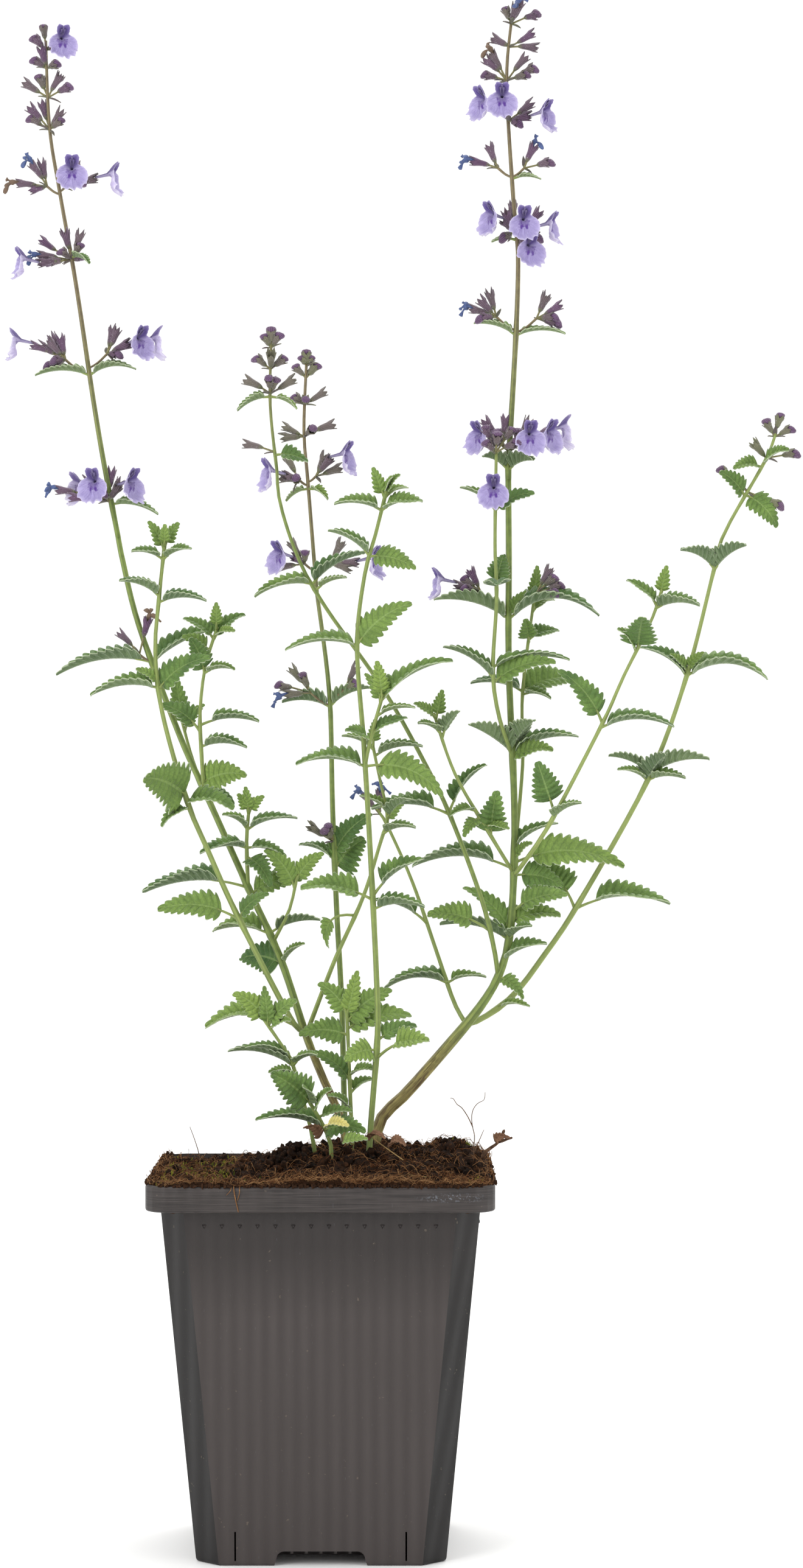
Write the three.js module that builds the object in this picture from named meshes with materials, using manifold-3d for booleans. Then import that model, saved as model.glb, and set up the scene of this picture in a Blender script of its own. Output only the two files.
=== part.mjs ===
// A young catmint in the square nursery pot it grows in.
// Millimetres, +Z up. The origin is the middle of the pot's foot, on the ground.

import * as THREE from "three";
import { mergeVertices } from "three/addons/utils/BufferGeometryUtils.js";
import Module from "manifold-3d";

const wasm = await Module();
wasm.setup();

// ---------------------------------------------------------------- driving dimensions

const CLEAR = 0.3; // gap between pieces that touch
const MERGE = 0.2; // how far joined solids run into each other
const HOLE_GAP = 0.45; // gap at the corners of a square stem in its hole
const HOLE_END = 1; // a hole goes this much deeper than its stem
const HOLE_TOP = 136; // above the heaped mix, so that every hole is open
const FORK = 12; // length of a stem, each way, that shapes the foot of its branches

const POT = {
  height: 121.2,
  rimWidth: 110,
  rimHeight: 8.2,
  rimCorner: 9,
  topWidth: 100.7, // body just under the rim
  footWidth: 79.4,
  chamfer: 7.5,
  wall: 1.2,
  notchWidth: 28, // drainage notch in the middle of each side
  notchHeight: 4.7,
  notchDepth: 18,
  slotWidth: 5, // drain slot in the roof of each notch
  slotLength: 10,
  slotInset: 3, // from the notch's inner end
  slitOffset: 27, // moulding slits either side of the notch
  slitWidth: 1,
  slitFrom: 1.6,
  slitTo: 11,
};

const MIX = {
  level: 120.4, // top of the mix at the rim
  mound: 8.6, // heap round the stems
  moundAt: [14, 2],
  moundSpread: [32, 40],
  lump: 5.2, // second heap towards the right-hand rim
  lumpAt: [44, 4],
  lumpSpread: [9, 22],
  crumb: 1.1, // height of the seeded unevenness
  cells: 8,
  seed: 11,
};

const CORNER = 0.58; // radius of a square stem's corners, per its thickness
const NEAR = 0.5; // two bends in a stem are never closer than this

const BLADE = 1.0; // thickness of a leaf under its midrib
const FOLD = 0.22; // how far a leaf's halves rise from the midrib, per width
const PETIOLE = 0.55; // half thickness of a leaf stalk
const LEAST_STALK = 2.2; // length that reaches out of any stem
const STEP = 0.01; // share of a leaf's length over which its slope is taken
const TOOTH_CUT = 0.74; // width at the cuts between teeth, per width at the teeth
const TOOTH_AT = 0.45; // share of a tooth's length at which it is widest
const TOOTHED = 0.94; // share of a blade's length that its teeth take up
const BLADE_RATIO = 1.9; // natural length of a leaf, per its width
const LONG_BLADE = 20; // blades this long have four teeth a side,
const MIDDLE_BLADE = 12; // these have three, and shorter ones have two

const CALYX = {
  root: 0.45, // radius where its stalk leaves the fan,
  neck: 0.5, // at its foot,
  mouth: 1.05, // between its teeth
  flare: 1.4, // and at their points
  length: 7, // from the foot to the points
  tooth: 1.5,
  teeth: 4,
};
const MOUTH = [-0.9, 2.6, 4.4]; // middle of an empty mouth, a bud, a wilted corolla
const PEDUNCLE = { radius: 0.65, knot: 1.35, past: 0.6, slope: 0.7 };

// A corolla in its own frame: the throat is at the origin and it faces +Y.
const COROLLA = {
  tube: 6.2, // from the throat back to the tube's foot
  foot: 0.42, // radius of the tube at its foot,
  footDrop: 1.0, // which lies this much lower than the throat,
  waist: 1.8, // and where it starts to widen
  waistRadius: 1.0,
  waistDrop: 0.2,
  throat: 1.2, // depth of the throat
  seat: 0.8, // how far the tube reaches into its calyx
  calyxDrop: 0.9,
  // the limb's outline from the upper lip's notch down its right side: x, y, z
  upperNotch: [0, 0.6, 4.1],
  side: [[1.5, 0.9, 5.0], [1.2, -0.6, 0.6], [3.5, 1.0, -2.0], [4.2, 2.1, -4.7],
    [2.4, 2.8, -6.7]],
  lowerNotch: [0, 2.9, -6.2],
};

// The plant is laid out on an upright drawing plane through the origin, as seen from
// a standpoint in front. A point drawn at x, z and set at depth y lies on its own
// line of sight, so that a stem can be bent forward or back without moving in the
// elevation. "lean" tips a stem and all that it carries back, per height above its root.
const STANDPOINT = new THREE.Vector3(25.5, -1250, 246.8);

const COLOURS = {
  plastic: "#4c4644",
  mix: "#35261d",
  leaf: "#5b8a3c",
  spike: "#6b5a58",
  corolla: "#9d8fd6",
  litter: "#6b4a30",
};

// ---------------------------------------------------------------- the layout
// Each stem: its path [x, y, z] from the root up, its thickness at heights, and
//   leaves  [height on the stem, tip x, y, z, width, roll, stalk share, arch]
//   whorls  [fan point or height, [calyx tips: x, y, z, kind], [corolla mouths:
//           x, y, z, turn]]
//   shoots  thinner branches grown as one with it
// A roll of 0 lays a blade flat and 90 turns its face to the front. A turn of 0
// faces a corolla to the front, 90 to the right and -90 to the left.
// Calyx kinds: 0 empty, 1 bud, 2 wilted corolla hanging out.
// "spike_from" is the height where the green stem becomes the flower spike.

const STEMS = [
  { "name": "left", "lean": 0.06, "spike_from": 327,
    "thick": [[116, 2.9], [166, 2.6], [213, 2.2], [370, 1.7], [489, 1.0]],
    "path": [[8, 0, 117], [6.5, 0, 135], [-1, 0, 153], [-6, 1, 166], [-14, 5, 190],
      [-24.5, 7, 213], [-38, 8, 243], [-47, 8, 263], [-60, 8, 298], [-65.5, 8, 320],
      [-71.3, 8, 350], [-75, 8, 372], [-80.7, 8, 410], [-86, 8, 440], [-89.3, 8, 461],
      [-90.5, 8, 489]],
    "leaves": [[166, -38.5, 4, 167, 12, 40, 0.42, 0.16], [188, -27, 6, 190, 9, 75, 0.1, 0.1],
      [198, -36, 8, 199, 10, 30, 0.2, 0.1], [198, -1, 5, 202.5, 8, 35, 0.2, 0.1],
      [213, -59, 11, 211, 11, 25, 0.33, 0.1], [211, -7, 6, 216, 9, 50, 0.1, 0.1],
      [247, -25, 6, 250, 9, 60, 0.1, 0.1], [286.5, -87, 8, 282.5, 11, 25, 0.16, 0.1],
      [286.5, -30, 14, 298, 10, 35, 0.12, 0.08], [338, -54, 6, 334.5, 7, 40, 0.1, 0.1],
      [380, -94, 8, 380, 7, 25, 0.1, 0.1], [380, -61, 8, 382, 7, 30, 0.1, 0.14]],
    "whorls": [
      [[-60, 7, 289], [[-66.5, 6, 297, 0], [-57, 5, 301, 2]], []],
      [[-70, 7.5, 339], [[-79, 6, 346, 0], [-69, 10, 349.5, 0], [-87, 9, 343.5, 2]],
        [[-75, -1, 345.5, -15], [-62.5, 3, 345.5, 55], [-80.5, 15, 344.5, -110]]],
      [[-84, 8, 385], [[-93, 8, 390, 0], [-88.5, 10, 393.5, 0], [-91.5, 9, 383, 1]],
        [[-100.5, 7, 391.5, -85]]],
      [[-70.5, 8, 387], [[-68.5, 9, 395.5, 0], [-65, 6, 387, 1]],
        [[-59.5, 3, 392, 45], [-54.5, 10, 392, 100]]],
      [[-82, 8, 417.5], [[-84.5, 7, 427.5, 0], [-79, 8, 427, 0], [-92.5, 10, 424, 0],
        [-91.5, 8, 417, 1]], [[-98.5, 5, 418, -75]]],
      [[-90, 8, 441.5], [[-95, 7, 449.5, 2], [-100, 8, 443, 2]], []],
      [[-84.5, 8, 441], [[-80.5, 10, 450, 0]], [[-82, -2, 447.5, 5], [-68.5, 7, 445.5, 85]]],
      [460, [[-97.5, 8, 465, 1], [-92, 10, 469, 0], [-84, 7, 465, 1]], []],
      [470.5, [[-98, 8, 475.5, 0], [-81, 8, 475.5, 1]], []],
      [480, [[-96, 8, 484, 1], [-85, 8, 483, 1]], []],
      [486, [[-96, 8, 491.5, 1], [-91.5, 8, 496, 1]], [[-85, 2, 490, 20]]]],
    "shoots": [
      { "thick": [[213, 1.4], [238, 1.0]],
        "path": [[-24.5, 7, 213], [-25, 4, 228], [-24.3, 4, 238]],
        "leaves": [[226, -40, 1, 224, 9, 45, 0.1, 0.1], [232, -33, 2, 237, 6, 50, 0.1, 0.1],
          [232, -8.5, 2, 235.5, 7, 45, 0.1, 0.1],
          [223, -17, -2, 213.5, 8, 60, 0.1, 0.1]] },
      { "thick": [[196, 1.3], [217, 0.9]],
        "path": [[-16, 5.5, 196], [-11, 2, 206], [-8.5, 2, 217]],
        "leaves": [[215, 0, 1, 224.5, 5, 60, 0.1, 0.1]] },
      { "thick": [[245, 1.4], [297, 0.9]],
        "path": [[-39, 8, 245.5], [-39.8, 3, 258], [-40.2, 3, 270], [-38.5, 2, 285],
          [-34.5, 2, 298]],
        "leaves": [[259, -25, 2, 258.5, 8, 40, 0.1, 0.1], [263.5, -52.5, 1, 273, 7, 45, 0.3, 0.1],
          [266, -21, 1, 267, 8, 40, 0.25, 0.1], [283, -29, -2, 284, 6, 50, 0.1, 0.1],
          [294, -45.5, 2, 301, 6, 50, 0.1, 0.1],
          [294, -25.5, 2, 302, 7, 40, 0.1, 0.1]] },
      { "thick": [[247, 1.2], [267, 0.9]],
        "path": [[-40, 9, 247.5], [-43, 13, 256], [-46, 14, 267]],
        "leaves": [[266, -48, 14, 282, 6, 85, 0.1, 0.05]] }] },

  { "name": "left_front", "lean": -0.1, "on": "left", "thick": [[166, 1.9], [226, 1.7], [325, 1.1]],
    "path": [[-6, 1, 166], [-8, -2, 167], [-11, -5, 171], [-20, -8, 188], [-30, -10, 208],
      [-38, -10, 226], [-44.5, -10, 241.5], [-52.5, -10, 270], [-54.8, -10, 290],
      [-53.6, -10, 307], [-51.7, -10, 325]],
    "leaves": [[202.5, -54, -12, 205.5, 11, 40, 0.28, 0.12],
      [243, -58, -14, 249.5, 13, 75, 0.08, 0.06],
      [241.5, -29, -13, 239, 9, 30, 0.1, 0.1], [239, -53, -12, 233, 7, 50, 0.1, 0.1],
      [278, -76, -11, 276, 9, 25, 0.15, 0.1], [278, -37, -12, 288.5, 9, 40, 0.1, 0.1],
      [308, -66.5, -11, 313, 8, 35, 0.1, 0.1], [306, -38, -11, 306.5, 8, 35, 0.1, 0.1],
      [320, -62.5, -11, 322.5, 6, 40, 0.1, 0.1], [320, -43, -11, 323.5, 6, 40, 0.1, 0.1],
      [323, -57, -10, 332.5, 5, 70, 0.1, 0.05], [324, -47, -10, 332, 5, 70, 0.1, 0.05]] },

  { "name": "inner", "lean": -0.12, "on": "left", "thick": [[165, 1.6], [210, 1.3], [262, 0.9]],
    "path": [[-5.6, 0.8, 165], [-3, 0, 172], [4, -2, 190], [13, -3, 210], [19, -3, 229],
      [21, -4, 236], [18.5, -5, 248], [16, -5, 260]],
    "leaves": [[204, 1, -5, 194, 6, 60, 0.5, 0.35], [230.5, 30, -5, 232.5, 7, 35, 0.1, 0.1],
      [236, 28.5, -6, 242, 7, 45, 0.1, 0.1], [256, 32.5, -7, 259, 7, 35, 0.1, 0.1]] },

  { "name": "back", "lean": 0.06, "spike_from": 309,
    "thick": [[118, 2.0], [230, 1.8], [383, 1.0]],
    "path": [[7.5, 12, 118], [7, 12, 135], [6, 14, 175], [4.3, 14, 207], [3, 14, 240],
      [2, 14, 276], [-2.2, 14, 310], [-5, 14, 345], [-6.3, 14, 362], [-5.5, 14, 384]],
    "leaves": [[219, 14, 17, 228.5, 7, 40, 0.1, 0.1], [224, 16, 14, 237, 7, 45, 0.1, 0.1],
      [222, -8, 18, 227, 7, 40, 0.1, 0.1], [272, -13.5, 16, 273.5, 8, 35, 0.1, 0.1],
      [272, 15, 16, 278, 7, 30, 0.1, 0.1]],
    "whorls": [
      [228, [[-0.5, 7, 233, 1]], []],
      [[-4, 13.5, 276.5], [[-11, 13, 285, 0], [-16.5, 14, 280, 1]], []],
      [[7, 14, 278], [[11, 14, 286, 0]], []],
      [[-6, 13.5, 318.5], [[-11, 15, 326, 0]], [[-14.5, 8, 322, -50]]],
      [[2, 14, 318.5], [[6.5, 15, 326, 0]], [[16.5, 11, 320.5, 70]]],
      [[-8, 13.5, 346], [[-12, 15, 354, 0]], [[-18, 9, 349, -70]]],
      [[-2.5, 13.5, 347], [[6, 15, 350, 0]], [[7.5, 10, 354.5, 70]]],
      [360, [[-13.5, 14, 363.5, 0], [3.5, 14, 365, 0], [-2.5, 7, 364, 1]], []],
      [370.5, [[-11.5, 14, 374.5, 1], [1, 14, 375, 0]], []],
      [379, [[-10.5, 13, 385, 1], [-0.5, 14, 385, 1]], []],
      [383, [[-5.5, 13, 390, 1]], []]] },

  { "name": "front", "lean": -0.07, "thick": [[118, 2.0], [250, 1.7], [342, 1.1]],
    "path": [[14.5, -12, 118], [15.5, -12, 136], [17.7, -12, 165], [17.3, -12, 185],
      [15.3, -12, 225], [13.2, -12, 260], [11, -12, 292], [13.5, -12, 315],
      [17, -12, 328], [20.5, -12, 342]],
    "leaves": [[157, 34.5, -16, 163, 11, 45, 0.45, 0.12],
      [160, 7, -16, 156.5, 7, 60, 0.1, 0.1], [163, 30.5, -9, 168, 7, 40, 0.2, 0.1],
      [209, -7.5, -14, 212.5, 9, 35, 0.25, 0.1], [210, 32.5, -13, 222, 9, 40, 0.3, 0.1],
      [206, 33, -15, 206.5, 9, 35, 0.15, 0.1], [252.5, -9, -13, 253.5, 9, 35, 0.12, 0.1],
      [252.5, 39.5, -16, 244, 10, 50, 0.2, 0.14], [292, -12.5, -13, 290.5, 9, 35, 0.1, 0.1],
      [292, 29, -14, 305.5, 9, 55, 0.12, 0.1], [321, 1.5, -13, 329.5, 8, 40, 0.1, 0.1],
      [321, 30, -14, 316.5, 8, 45, 0.1, 0.1], [336, 3.5, -13, 338, 8, 38, 0.1, 0.1],
      [336, 32.5, -13, 339, 8, 35, 0.1, 0.1], [340, 16, -12, 350, 5, 80, 0.1, 0.05]],
    "shoots": [
      { "thick": [[252, 1.3], [276, 0.9]],
        "path": [[13.6, -12, 252.5], [15.5, -13.5, 262], [19.5, -14, 276]],
        "leaves": [[261, 7, -15, 264.5, 6, 45, 0.1, 0.1], [263, 27.5, -15, 268, 6, 40, 0.1, 0.1],
          [274, 42, -13, 287.5, 9, 40, 0.1, 0.1],
          [275, 18, -14, 287, 5, 85, 0.1, 0]] }] },

  { "name": "back_left", "lean": 0.1, "on": "right", "thick": [[169, 1.5], [247, 0.9]],
    "path": [[46.3, 4, 169], [42.5, 11, 176], [37, 16, 192], [29, 19, 215], [20.5, 20, 234],
      [17, 20, 239]],
    "leaves": [[182, 20, 16, 180, 10, 30, 0.1, 0.14], [182, 53, 15, 184, 6, 45, 0.1, 0.1],
      [201.5, 17, 21, 209, 8, 40, 0.3, 0.1]],
    "whorls": [[237, [[12.5, 19, 244, 2], [18.5, 20, 245, 2]], []]] },

  { "name": "right", "lean": 0.03, "spike_from": 346,
    "thick": [[118, 4.2], [165, 3.6], [186, 2.4], [350, 2.0], [495, 1.0]],
    "path": [[16.5, 4, 118], [18, 4, 136], [28, 4, 147], [42, 3, 163], [51, 2, 174],
      [57, 2, 184], [60.5, 2, 196], [62, 2, 215], [62.3, 2, 240], [60.5, 2, 285],
      [60.5, 2, 320], [60.3, 2, 350], [62.8, 2, 393], [63.5, 2, 420], [62, 2, 437],
      [59.8, 2, 475], [61.3, 2, 495]],
    "leaves": [[196, 38, 8, 201, 9, 40, 0.1, 0.1], [199, 46, 7, 213.5, 7, 40, 0.1, 0.1],
      [202, 77.5, 5, 204, 8, 30, 0.12, 0.1], [205, 79.5, -2, 211, 8, 35, 0.25, 0.1],
      [189, 73, -2, 195, 8, 35, 0.1, 0.1], [219, 29, 7, 220, 12, 40, 0.25, 0.12],
      [221, 98, 1, 218.5, 12, 35, 0.22, 0.14], [217, 78, 7, 213, 8, 50, 0.2, 0.1],
      [226, 76.5, 5, 234, 7, 40, 0.1, 0.1], [257, 47, -3, 266, 10, 70, 0.08, 0.05],
      [259, 69, -5, 267.5, 9, 70, 0.1, 0.05], [255, 75, -1, 258, 8, 45, 0.1, 0.1],
      [257, 83.5, 5, 262, 9, 35, 0.1, 0.1], [300.5, 36, 1, 307, 11, 35, 0.12, 0.1],
      [300.5, 90, 1, 301.5, 12, 30, 0.12, 0.22],
      [349, 52, -1, 353.5, 6, 50, 0.1, 0.1], [349, 68.5, -1, 352.5, 6, 50, 0.1, 0.1],
      [393, 49, 2, 397, 6, 35, 0.1, 0.1], [393, 79, 2, 393.5, 6, 35, 0.1, 0.1]],
    "whorls": [
      [[51.5, 3, 309], [[48, 4, 317, 0]], [[37.5, 2, 313.5, -80]]],
      [[69.5, 2, 309], [[74, 3, 317.5, 0], [79.5, 3, 312.5, 1]], []],
      [[58.5, 1, 357], [[52.5, 2, 366, 0], [59.5, 3, 366.5, 0]], [[50.5, -3, 361, -50]]],
      [[63, 1, 357], [[67, 4, 366, 0]],
        [[67.5, -8, 361, 12], [74, -3, 361.5, 50], [78.5, 7, 363, 100]]],
      [[56.5, 2, 399], [[54, 3, 407.5, 0], [49, 1, 398.5, 1]], []],
      [[69.5, 2, 398.5], [[73, 3, 406.5, 0], [78, 1.5, 403, 0], [78, 3, 397, 1]], []],
      [[62, 1.5, 426.5], [[61.8, 4, 436.5, 0]], [[65.5, -10.5, 431, 8], [54.5, -3, 432.5, -55]]],
      [[65, 1.5, 426], [[70.5, 4, 434, 0]], [[74.5, 0, 429.5, 75], [67.5, -7, 422.5, 25]]],
      [[57, 2, 447.5], [[53.5, 3, 455, 0], [48, 2, 450.5, 2]], []],
      [[65.5, 2, 447.5], [[68.5, 3, 455.5, 2], [76, 2, 450, 1]], []],
      [[60.5, 1.5, 463], [], [[58.3, -9, 471, -3], [51.5, -3, 470, -55], [72.5, -2, 466, 60]]],
      [476, [[50.5, 2, 479, 1], [55, 1, 485.5, 2], [66, 2, 484.5, 0], [71, 2, 481, 1]], []],
      [487, [[69, 2, 491.5, 0]], []],
      [494.5, [[58.5, 2, 502, 1], [65, 2, 502, 0], [71.5, 2, 499, 1]], []]],
    "shoots": [
      { "thick": [[256, 1.4], [357, 1.0]],
        "path": [[61.4, 2, 256.5], [57.5, -4, 268], [55.3, -6, 283], [56.5, -6, 307],
          [56, -6, 325], [56.4, -6, 355]],
        "leaves": [[281, 39, -8, 291.5, 8, 40, 0.1, 0.1], [280, 75.5, -8, 287.5, 8, 40, 0.12, 0.1],
          [285, 80.5, -4, 287, 7, 35, 0.1, 0.1], [312, 59, -4, 321.5, 6, 75, 0.1, 0.05],
          [311, 57.5, -14, 312, 8, 45, 0.1, 0.1], [336, 44.5, -7, 343.5, 6, 45, 0.1, 0.1],
          [336, 69, -8, 341.5, 6, 40, 0.1, 0.1]],
        "whorls": [[340, [], [[55.5, -16, 343.5, -5]]], [354, [[56.5, -6, 363, 1]], []]] },
      { "thick": [[222, 1.3], [311, 0.9]],
        "path": [[62.2, 2.5, 222], [65, 8, 253], [65, 8, 277], [69, 8, 309]],
        "leaves": [[277, 48, 9, 279.5, 9, 30, 0.12, 0.1], [277, 83.5, 9, 280.5, 11, 35, 0.1, 0.1],
          [293, 66, 3, 300.5, 6, 60, 0.1, 0.05], [294, 77, 8, 296.5, 6, 45, 0.1, 0.1],
          [306, 70, 8, 318, 5, 80, 0.1, 0.05]] },
      { "thick": [[218, 1.3], [270, 0.9]],
        "path": [[61.9, 1.5, 218], [54, -7, 231], [43, -13, 250], [36, -14, 270]],
        "leaves": [[230, 56, -12, 244.5, 9, 75, 0.1, 0.05],
          [238, 41, -14, 236.5, 6, 50, 0.1, 0.1], [262, 44.5, -15, 270.5, 6, 50, 0.1, 0.1],
          [268, 39, -14, 277.5, 5, 70, 0.1, 0]] }] },

  { "name": "middle", "lean": -0.06, "on": "right", "thick": [[184, 1.6], [270, 1.4], [392, 0.9]],
    "spike_from": 349,
    "path": [[57, 2, 184], [55.7, -1, 193], [52, -3, 208], [44, -1, 230], [36, 0, 248],
      [20, 0, 277], [1, 0, 304], [-8, 0, 320], [-14, 0, 338], [-17.3, 0, 370], [-17, 0, 390]],
    "leaves": [[199, 34, -4, 204.5, 9, 35, 0.35, 0.1], [237, 16, 3, 239, 8, 30, 0.25, 0.1],
      [237, 53.5, 6, 253, 8, 40, 0.25, 0.1], [312, -22.5, -2, 308, 8, 35, 0.1, 0.1],
      [312, 14, 2, 322, 9, 30, 0.1, 0.1], [373, -28, 0, 368.5, 6, 40, 0.1, 0.1]],
    "whorls": [
      [355, [[-26, 0, 358.5, 0]], []],
      [374, [[-25.5, 0, 379.5, 0], [-9, 0, 379, 0], [-18, -6, 381, 1]], []],
      [382, [[-24, 0, 387, 1], [-11, 0, 387.5, 1]], []],
      [389, [[-20.5, 0, 395, 1], [-13, 0, 395, 1], [-17, -0.5, 397.5, 1]], []]] },

  { "name": "thin_right", "lean": -0.12, "on": "right", "thick": [[217, 1.5], [310, 0.9]],
    "path": [[62.1, 2, 217], [66, -3, 222], [74.5, -8, 235], [91, -8, 266.5], [98, -8, 282],
      [106.5, -8, 299], [110.5, -8, 310]],
    "leaves": [[237, 69.5, -9, 254, 9, 75, 0.3, 0.05], [235, 84, -10, 240.5, 7, 45, 0.1, 0.1],
      [266.5, 77.5, -9, 284.5, 9, 65, 0.2, 0.08], [265, 114.5, -9, 265.5, 10, 35, 0.15, 0.12],
      [291, 104, -14, 301, 9, 70, 0.1, 0.05], [305, 99, -9, 313.5, 6, 55, 0.1, 0.1],
      [304, 123, -9, 305, 9, 35, 0.1, 0.1], [308, 112, -8, 318, 5, 80, 0.1, 0]] },

  { "name": "far_right", "lean": 0.08, "on": "right", "thick": [[168, 2.0], [250, 1.6], [361, 1.0]],
    "path": [[46.8, 3, 168.5], [52, 6, 170.5], [62, 9, 178], [72, 9, 191], [83, 8, 207.5],
      [106, 6, 248.5], [118.5, 6, 282], [127.5, 6, 317], [131, 6, 329], [144, 6, 352],
      [147.5, 6, 361]],
    "leaves": [[206, 69.5, 12, 221.5, 9, 60, 0.35, 0.1], [206, 113, 6, 207, 11, 30, 0.27, 0.12],
      [250, 93, 8, 256, 8, 40, 0.1, 0.1], [247, 112, -1, 256.5, 8, 55, 0.1, 0.08],
      [250, 126, 5, 255, 10, 35, 0.12, 0.1], [282, 103.5, 6, 291.5, 9, 40, 0.12, 0.1],
      [282, 145, 6, 281, 11, 30, 0.12, 0.18],
      [317, 116.5, 5, 323, 8, 40, 0.1, 0.1], [316, 138, 3, 324.5, 8, 50, 0.1, 0.1],
      [341, 148, 5, 330.5, 7, 45, 0.1, 0.1], [350, 133.5, 5, 350, 6, 40, 0.1, 0.1]],
    "whorls": [
      [342, [[128, 6, 351, 1], [151, 6, 337, 1]], []],
      [353, [[156, 6, 355, 1]], []],
      [360, [[143.5, 6, 367, 1], [149.5, 6, 369, 1], [154.5, 6, 363.5, 1]], []]] },

  { "name": "short_left", "lean": -0.2, "thick": [[120, 1.5], [171, 1.0]],
    "path": [[-2, -6, 120], [-4, -6, 134], [-9, -8, 152], [-10.5, -8, 157], [-20, -9, 171]],
    "leaves": [[151, -18, -11, 153, 6, 50, 0.1, 0.1], [157, -25.5, -11, 161, 7, 45, 0.1, 0.1],
      [155, -31, -5, 160, 8, 30, 0.1, 0.1], [168, -19, -9, 181, 5, 80, 0.1, 0.05],
      [170, -29, -10, 179, 6, 50, 0.1, 0.1], [168, -8.5, -12, 176, 6, 55, 0.1, 0.1]] },

  { "name": "short_front", "lean": -0.3, "thick": [[120, 1.5], [144, 1.1]],
    "path": [[2.5, -15, 120], [2, -15, 131], [-5, -16, 144]],
    "leaves": [[143, -17, -17, 152.5, 10, 75, 0.1, 0.05],
      [135, -22, -19, 137, 9, 45, 0.1, 0.1], [134, 14, -21, 134, 9, 65, 0.1, 0.08],
      [138, 9.5, -18, 140, 6, 55, 0.1, 0.1]] },

  { "name": "short_inner", "lean": 0.0, "thick": [[120, 1.5], [173, 1.0]],
    "path": [[10, -5, 120], [9.3, -5, 133], [8, -6, 165], [7.5, -6, 173]],
    "leaves": [[165, -8, -7, 165, 8, 45, 0.1, 0.1], [172, -1.5, -7, 182, 7, 55, 0.1, 0.1],
      [169, 22.5, -5, 179.5, 8, 50, 0.1, 0.1], [167, 28.5, -2, 172, 9, 45, 0.1, 0.1],
      [171, 11, -7, 186, 5, 80, 0.1, 0], [150, -3.5, -10, 160, 7, 60, 0.1, 0.1]] },

  { "name": "dead_twig", "dead": 1, "lean": 0, "thick": [[118, 1.6], [134, 0.9]],
    "path": [[47.5, -6, 118], [52, -6, 126], [57, -7, 130], [59, -7, 134]],
    "leaves": [],
    "shoots": [{ "thick": [[130, 1.1], [131.5, 0.8]],
      "path": [[57, -7, 130], [61.5, -8, 131.5]], "leaves": [] }] },
];

const stemsByName = new Map(STEMS.map((stem) => [stem.name, stem]));
for (const stem of STEMS) {
  for (const shoot of stem.shoots ?? []) shoot.host = stem;
}

// ---------------------------------------------------------------- solids

// A closed solid from its corners and the triangles between them.
function solid(corners, triangles) {
  return new wasm.Manifold(new wasm.Mesh({
    numProp: 3,
    vertProperties: Float32Array.from(corners.flatMap((c) => [c.x, c.y, c.z])),
    triVerts: Uint32Array.from(triangles.flat()),
  }));
}

// A closed solid from a three.js geometry.
function solidOf(geometry) {
  geometry.deleteAttribute("normal");
  geometry.deleteAttribute("uv");
  const merged = mergeVertices(geometry, 1e-4);
  return new wasm.Manifold(new wasm.Mesh({
    numProp: 3,
    vertProperties: Float32Array.from(merged.attributes.position.array),
    triVerts: Uint32Array.from(merged.index.array),
  }));
}

// Joins convex rings of equal count, counter-clockwise as seen from the far end.
function loft(rings) {
  const n = rings[0].length;
  const last = (rings.length - 1) * n;
  const triangles = [];
  for (let i = 1; i < n - 1; i++) {
    triangles.push([0, i + 1, i], [last, last + i, last + i + 1]);
  }
  for (let first = 0; first < last; first += n) triangles.push(...sleeve(first, n));
  return solid(rings.flat(), triangles);
}

// Triangles between a ring of corners at first and an equal one at first + n.
function sleeve(first, n) {
  const triangles = [];
  for (let i = 0; i < n; i++) {
    const a = first + i;
    const b = first + (i + 1) % n;
    triangles.push([a, b, b + n], [a, b + n, a + n]);
  }
  return triangles;
}

// Triangles between a ring of m corners and a wider ring of n corners.
function collar(inner, m, outer, n) {
  const triangles = [];
  const nearest = (i) => Math.round(m * i / n - 1e-6);
  for (let i = 0; i < n; i++) {
    const a = inner + nearest(i) % m;
    const b = inner + nearest(i + 1) % m;
    const next = outer + (i + 1) % n;
    triangles.push([a, next, outer + i]);
    if (a !== b) triangles.push([a, b, next]);
  }
  return triangles;
}

// Triangles from a ring of n corners to the corner in its middle.
function fan(centre, first, n) {
  return Array.from({ length: n }, (_, i) => [centre, first + i, first + (i + 1) % n]);
}

function union(solids) {
  return solids.length > 1 ? wasm.Manifold.union(solids) : solids[0];
}

const vec = (x, y, z) => new THREE.Vector3(x, y, z);
const radians = THREE.MathUtils.degToRad;

// The real place of a point drawn at x, z and set at depth y.
function place([x, y, z]) {
  const spread = (y - STANDPOINT.y) / -STANDPOINT.y;
  return vec(STANDPOINT.x + (x - STANDPOINT.x) * spread, y,
    STANDPOINT.z + (z - STANDPOINT.z) * spread);
}

// How far a stem's lean has carried it back at a height.
function leanAt(stem, z) {
  const own = stem.host ?? stem;
  const from = own.path[0][2];
  const start = own.on ? leanAt(stemsByName.get(own.on), from) : 0;
  return start + own.lean * (z - from);
}

// The real place of a point drawn on a stem, or on what the stem carries.
const placeOn = (stem, [x, y, z]) => place([x, y + leanAt(stem, z), z]);

// ---------------------------------------------------------------- the pot

// A square of the given width with its corners cut off.
function chamferedSquare(width, chamfer, z) {
  const h = width / 2;
  const s = h - chamfer;
  return [[h, -s], [h, s], [s, h], [-s, h], [-h, s], [-h, -s], [-s, -h], [s, -h]]
    .map(([x, y]) => vec(x, y, z));
}

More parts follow.
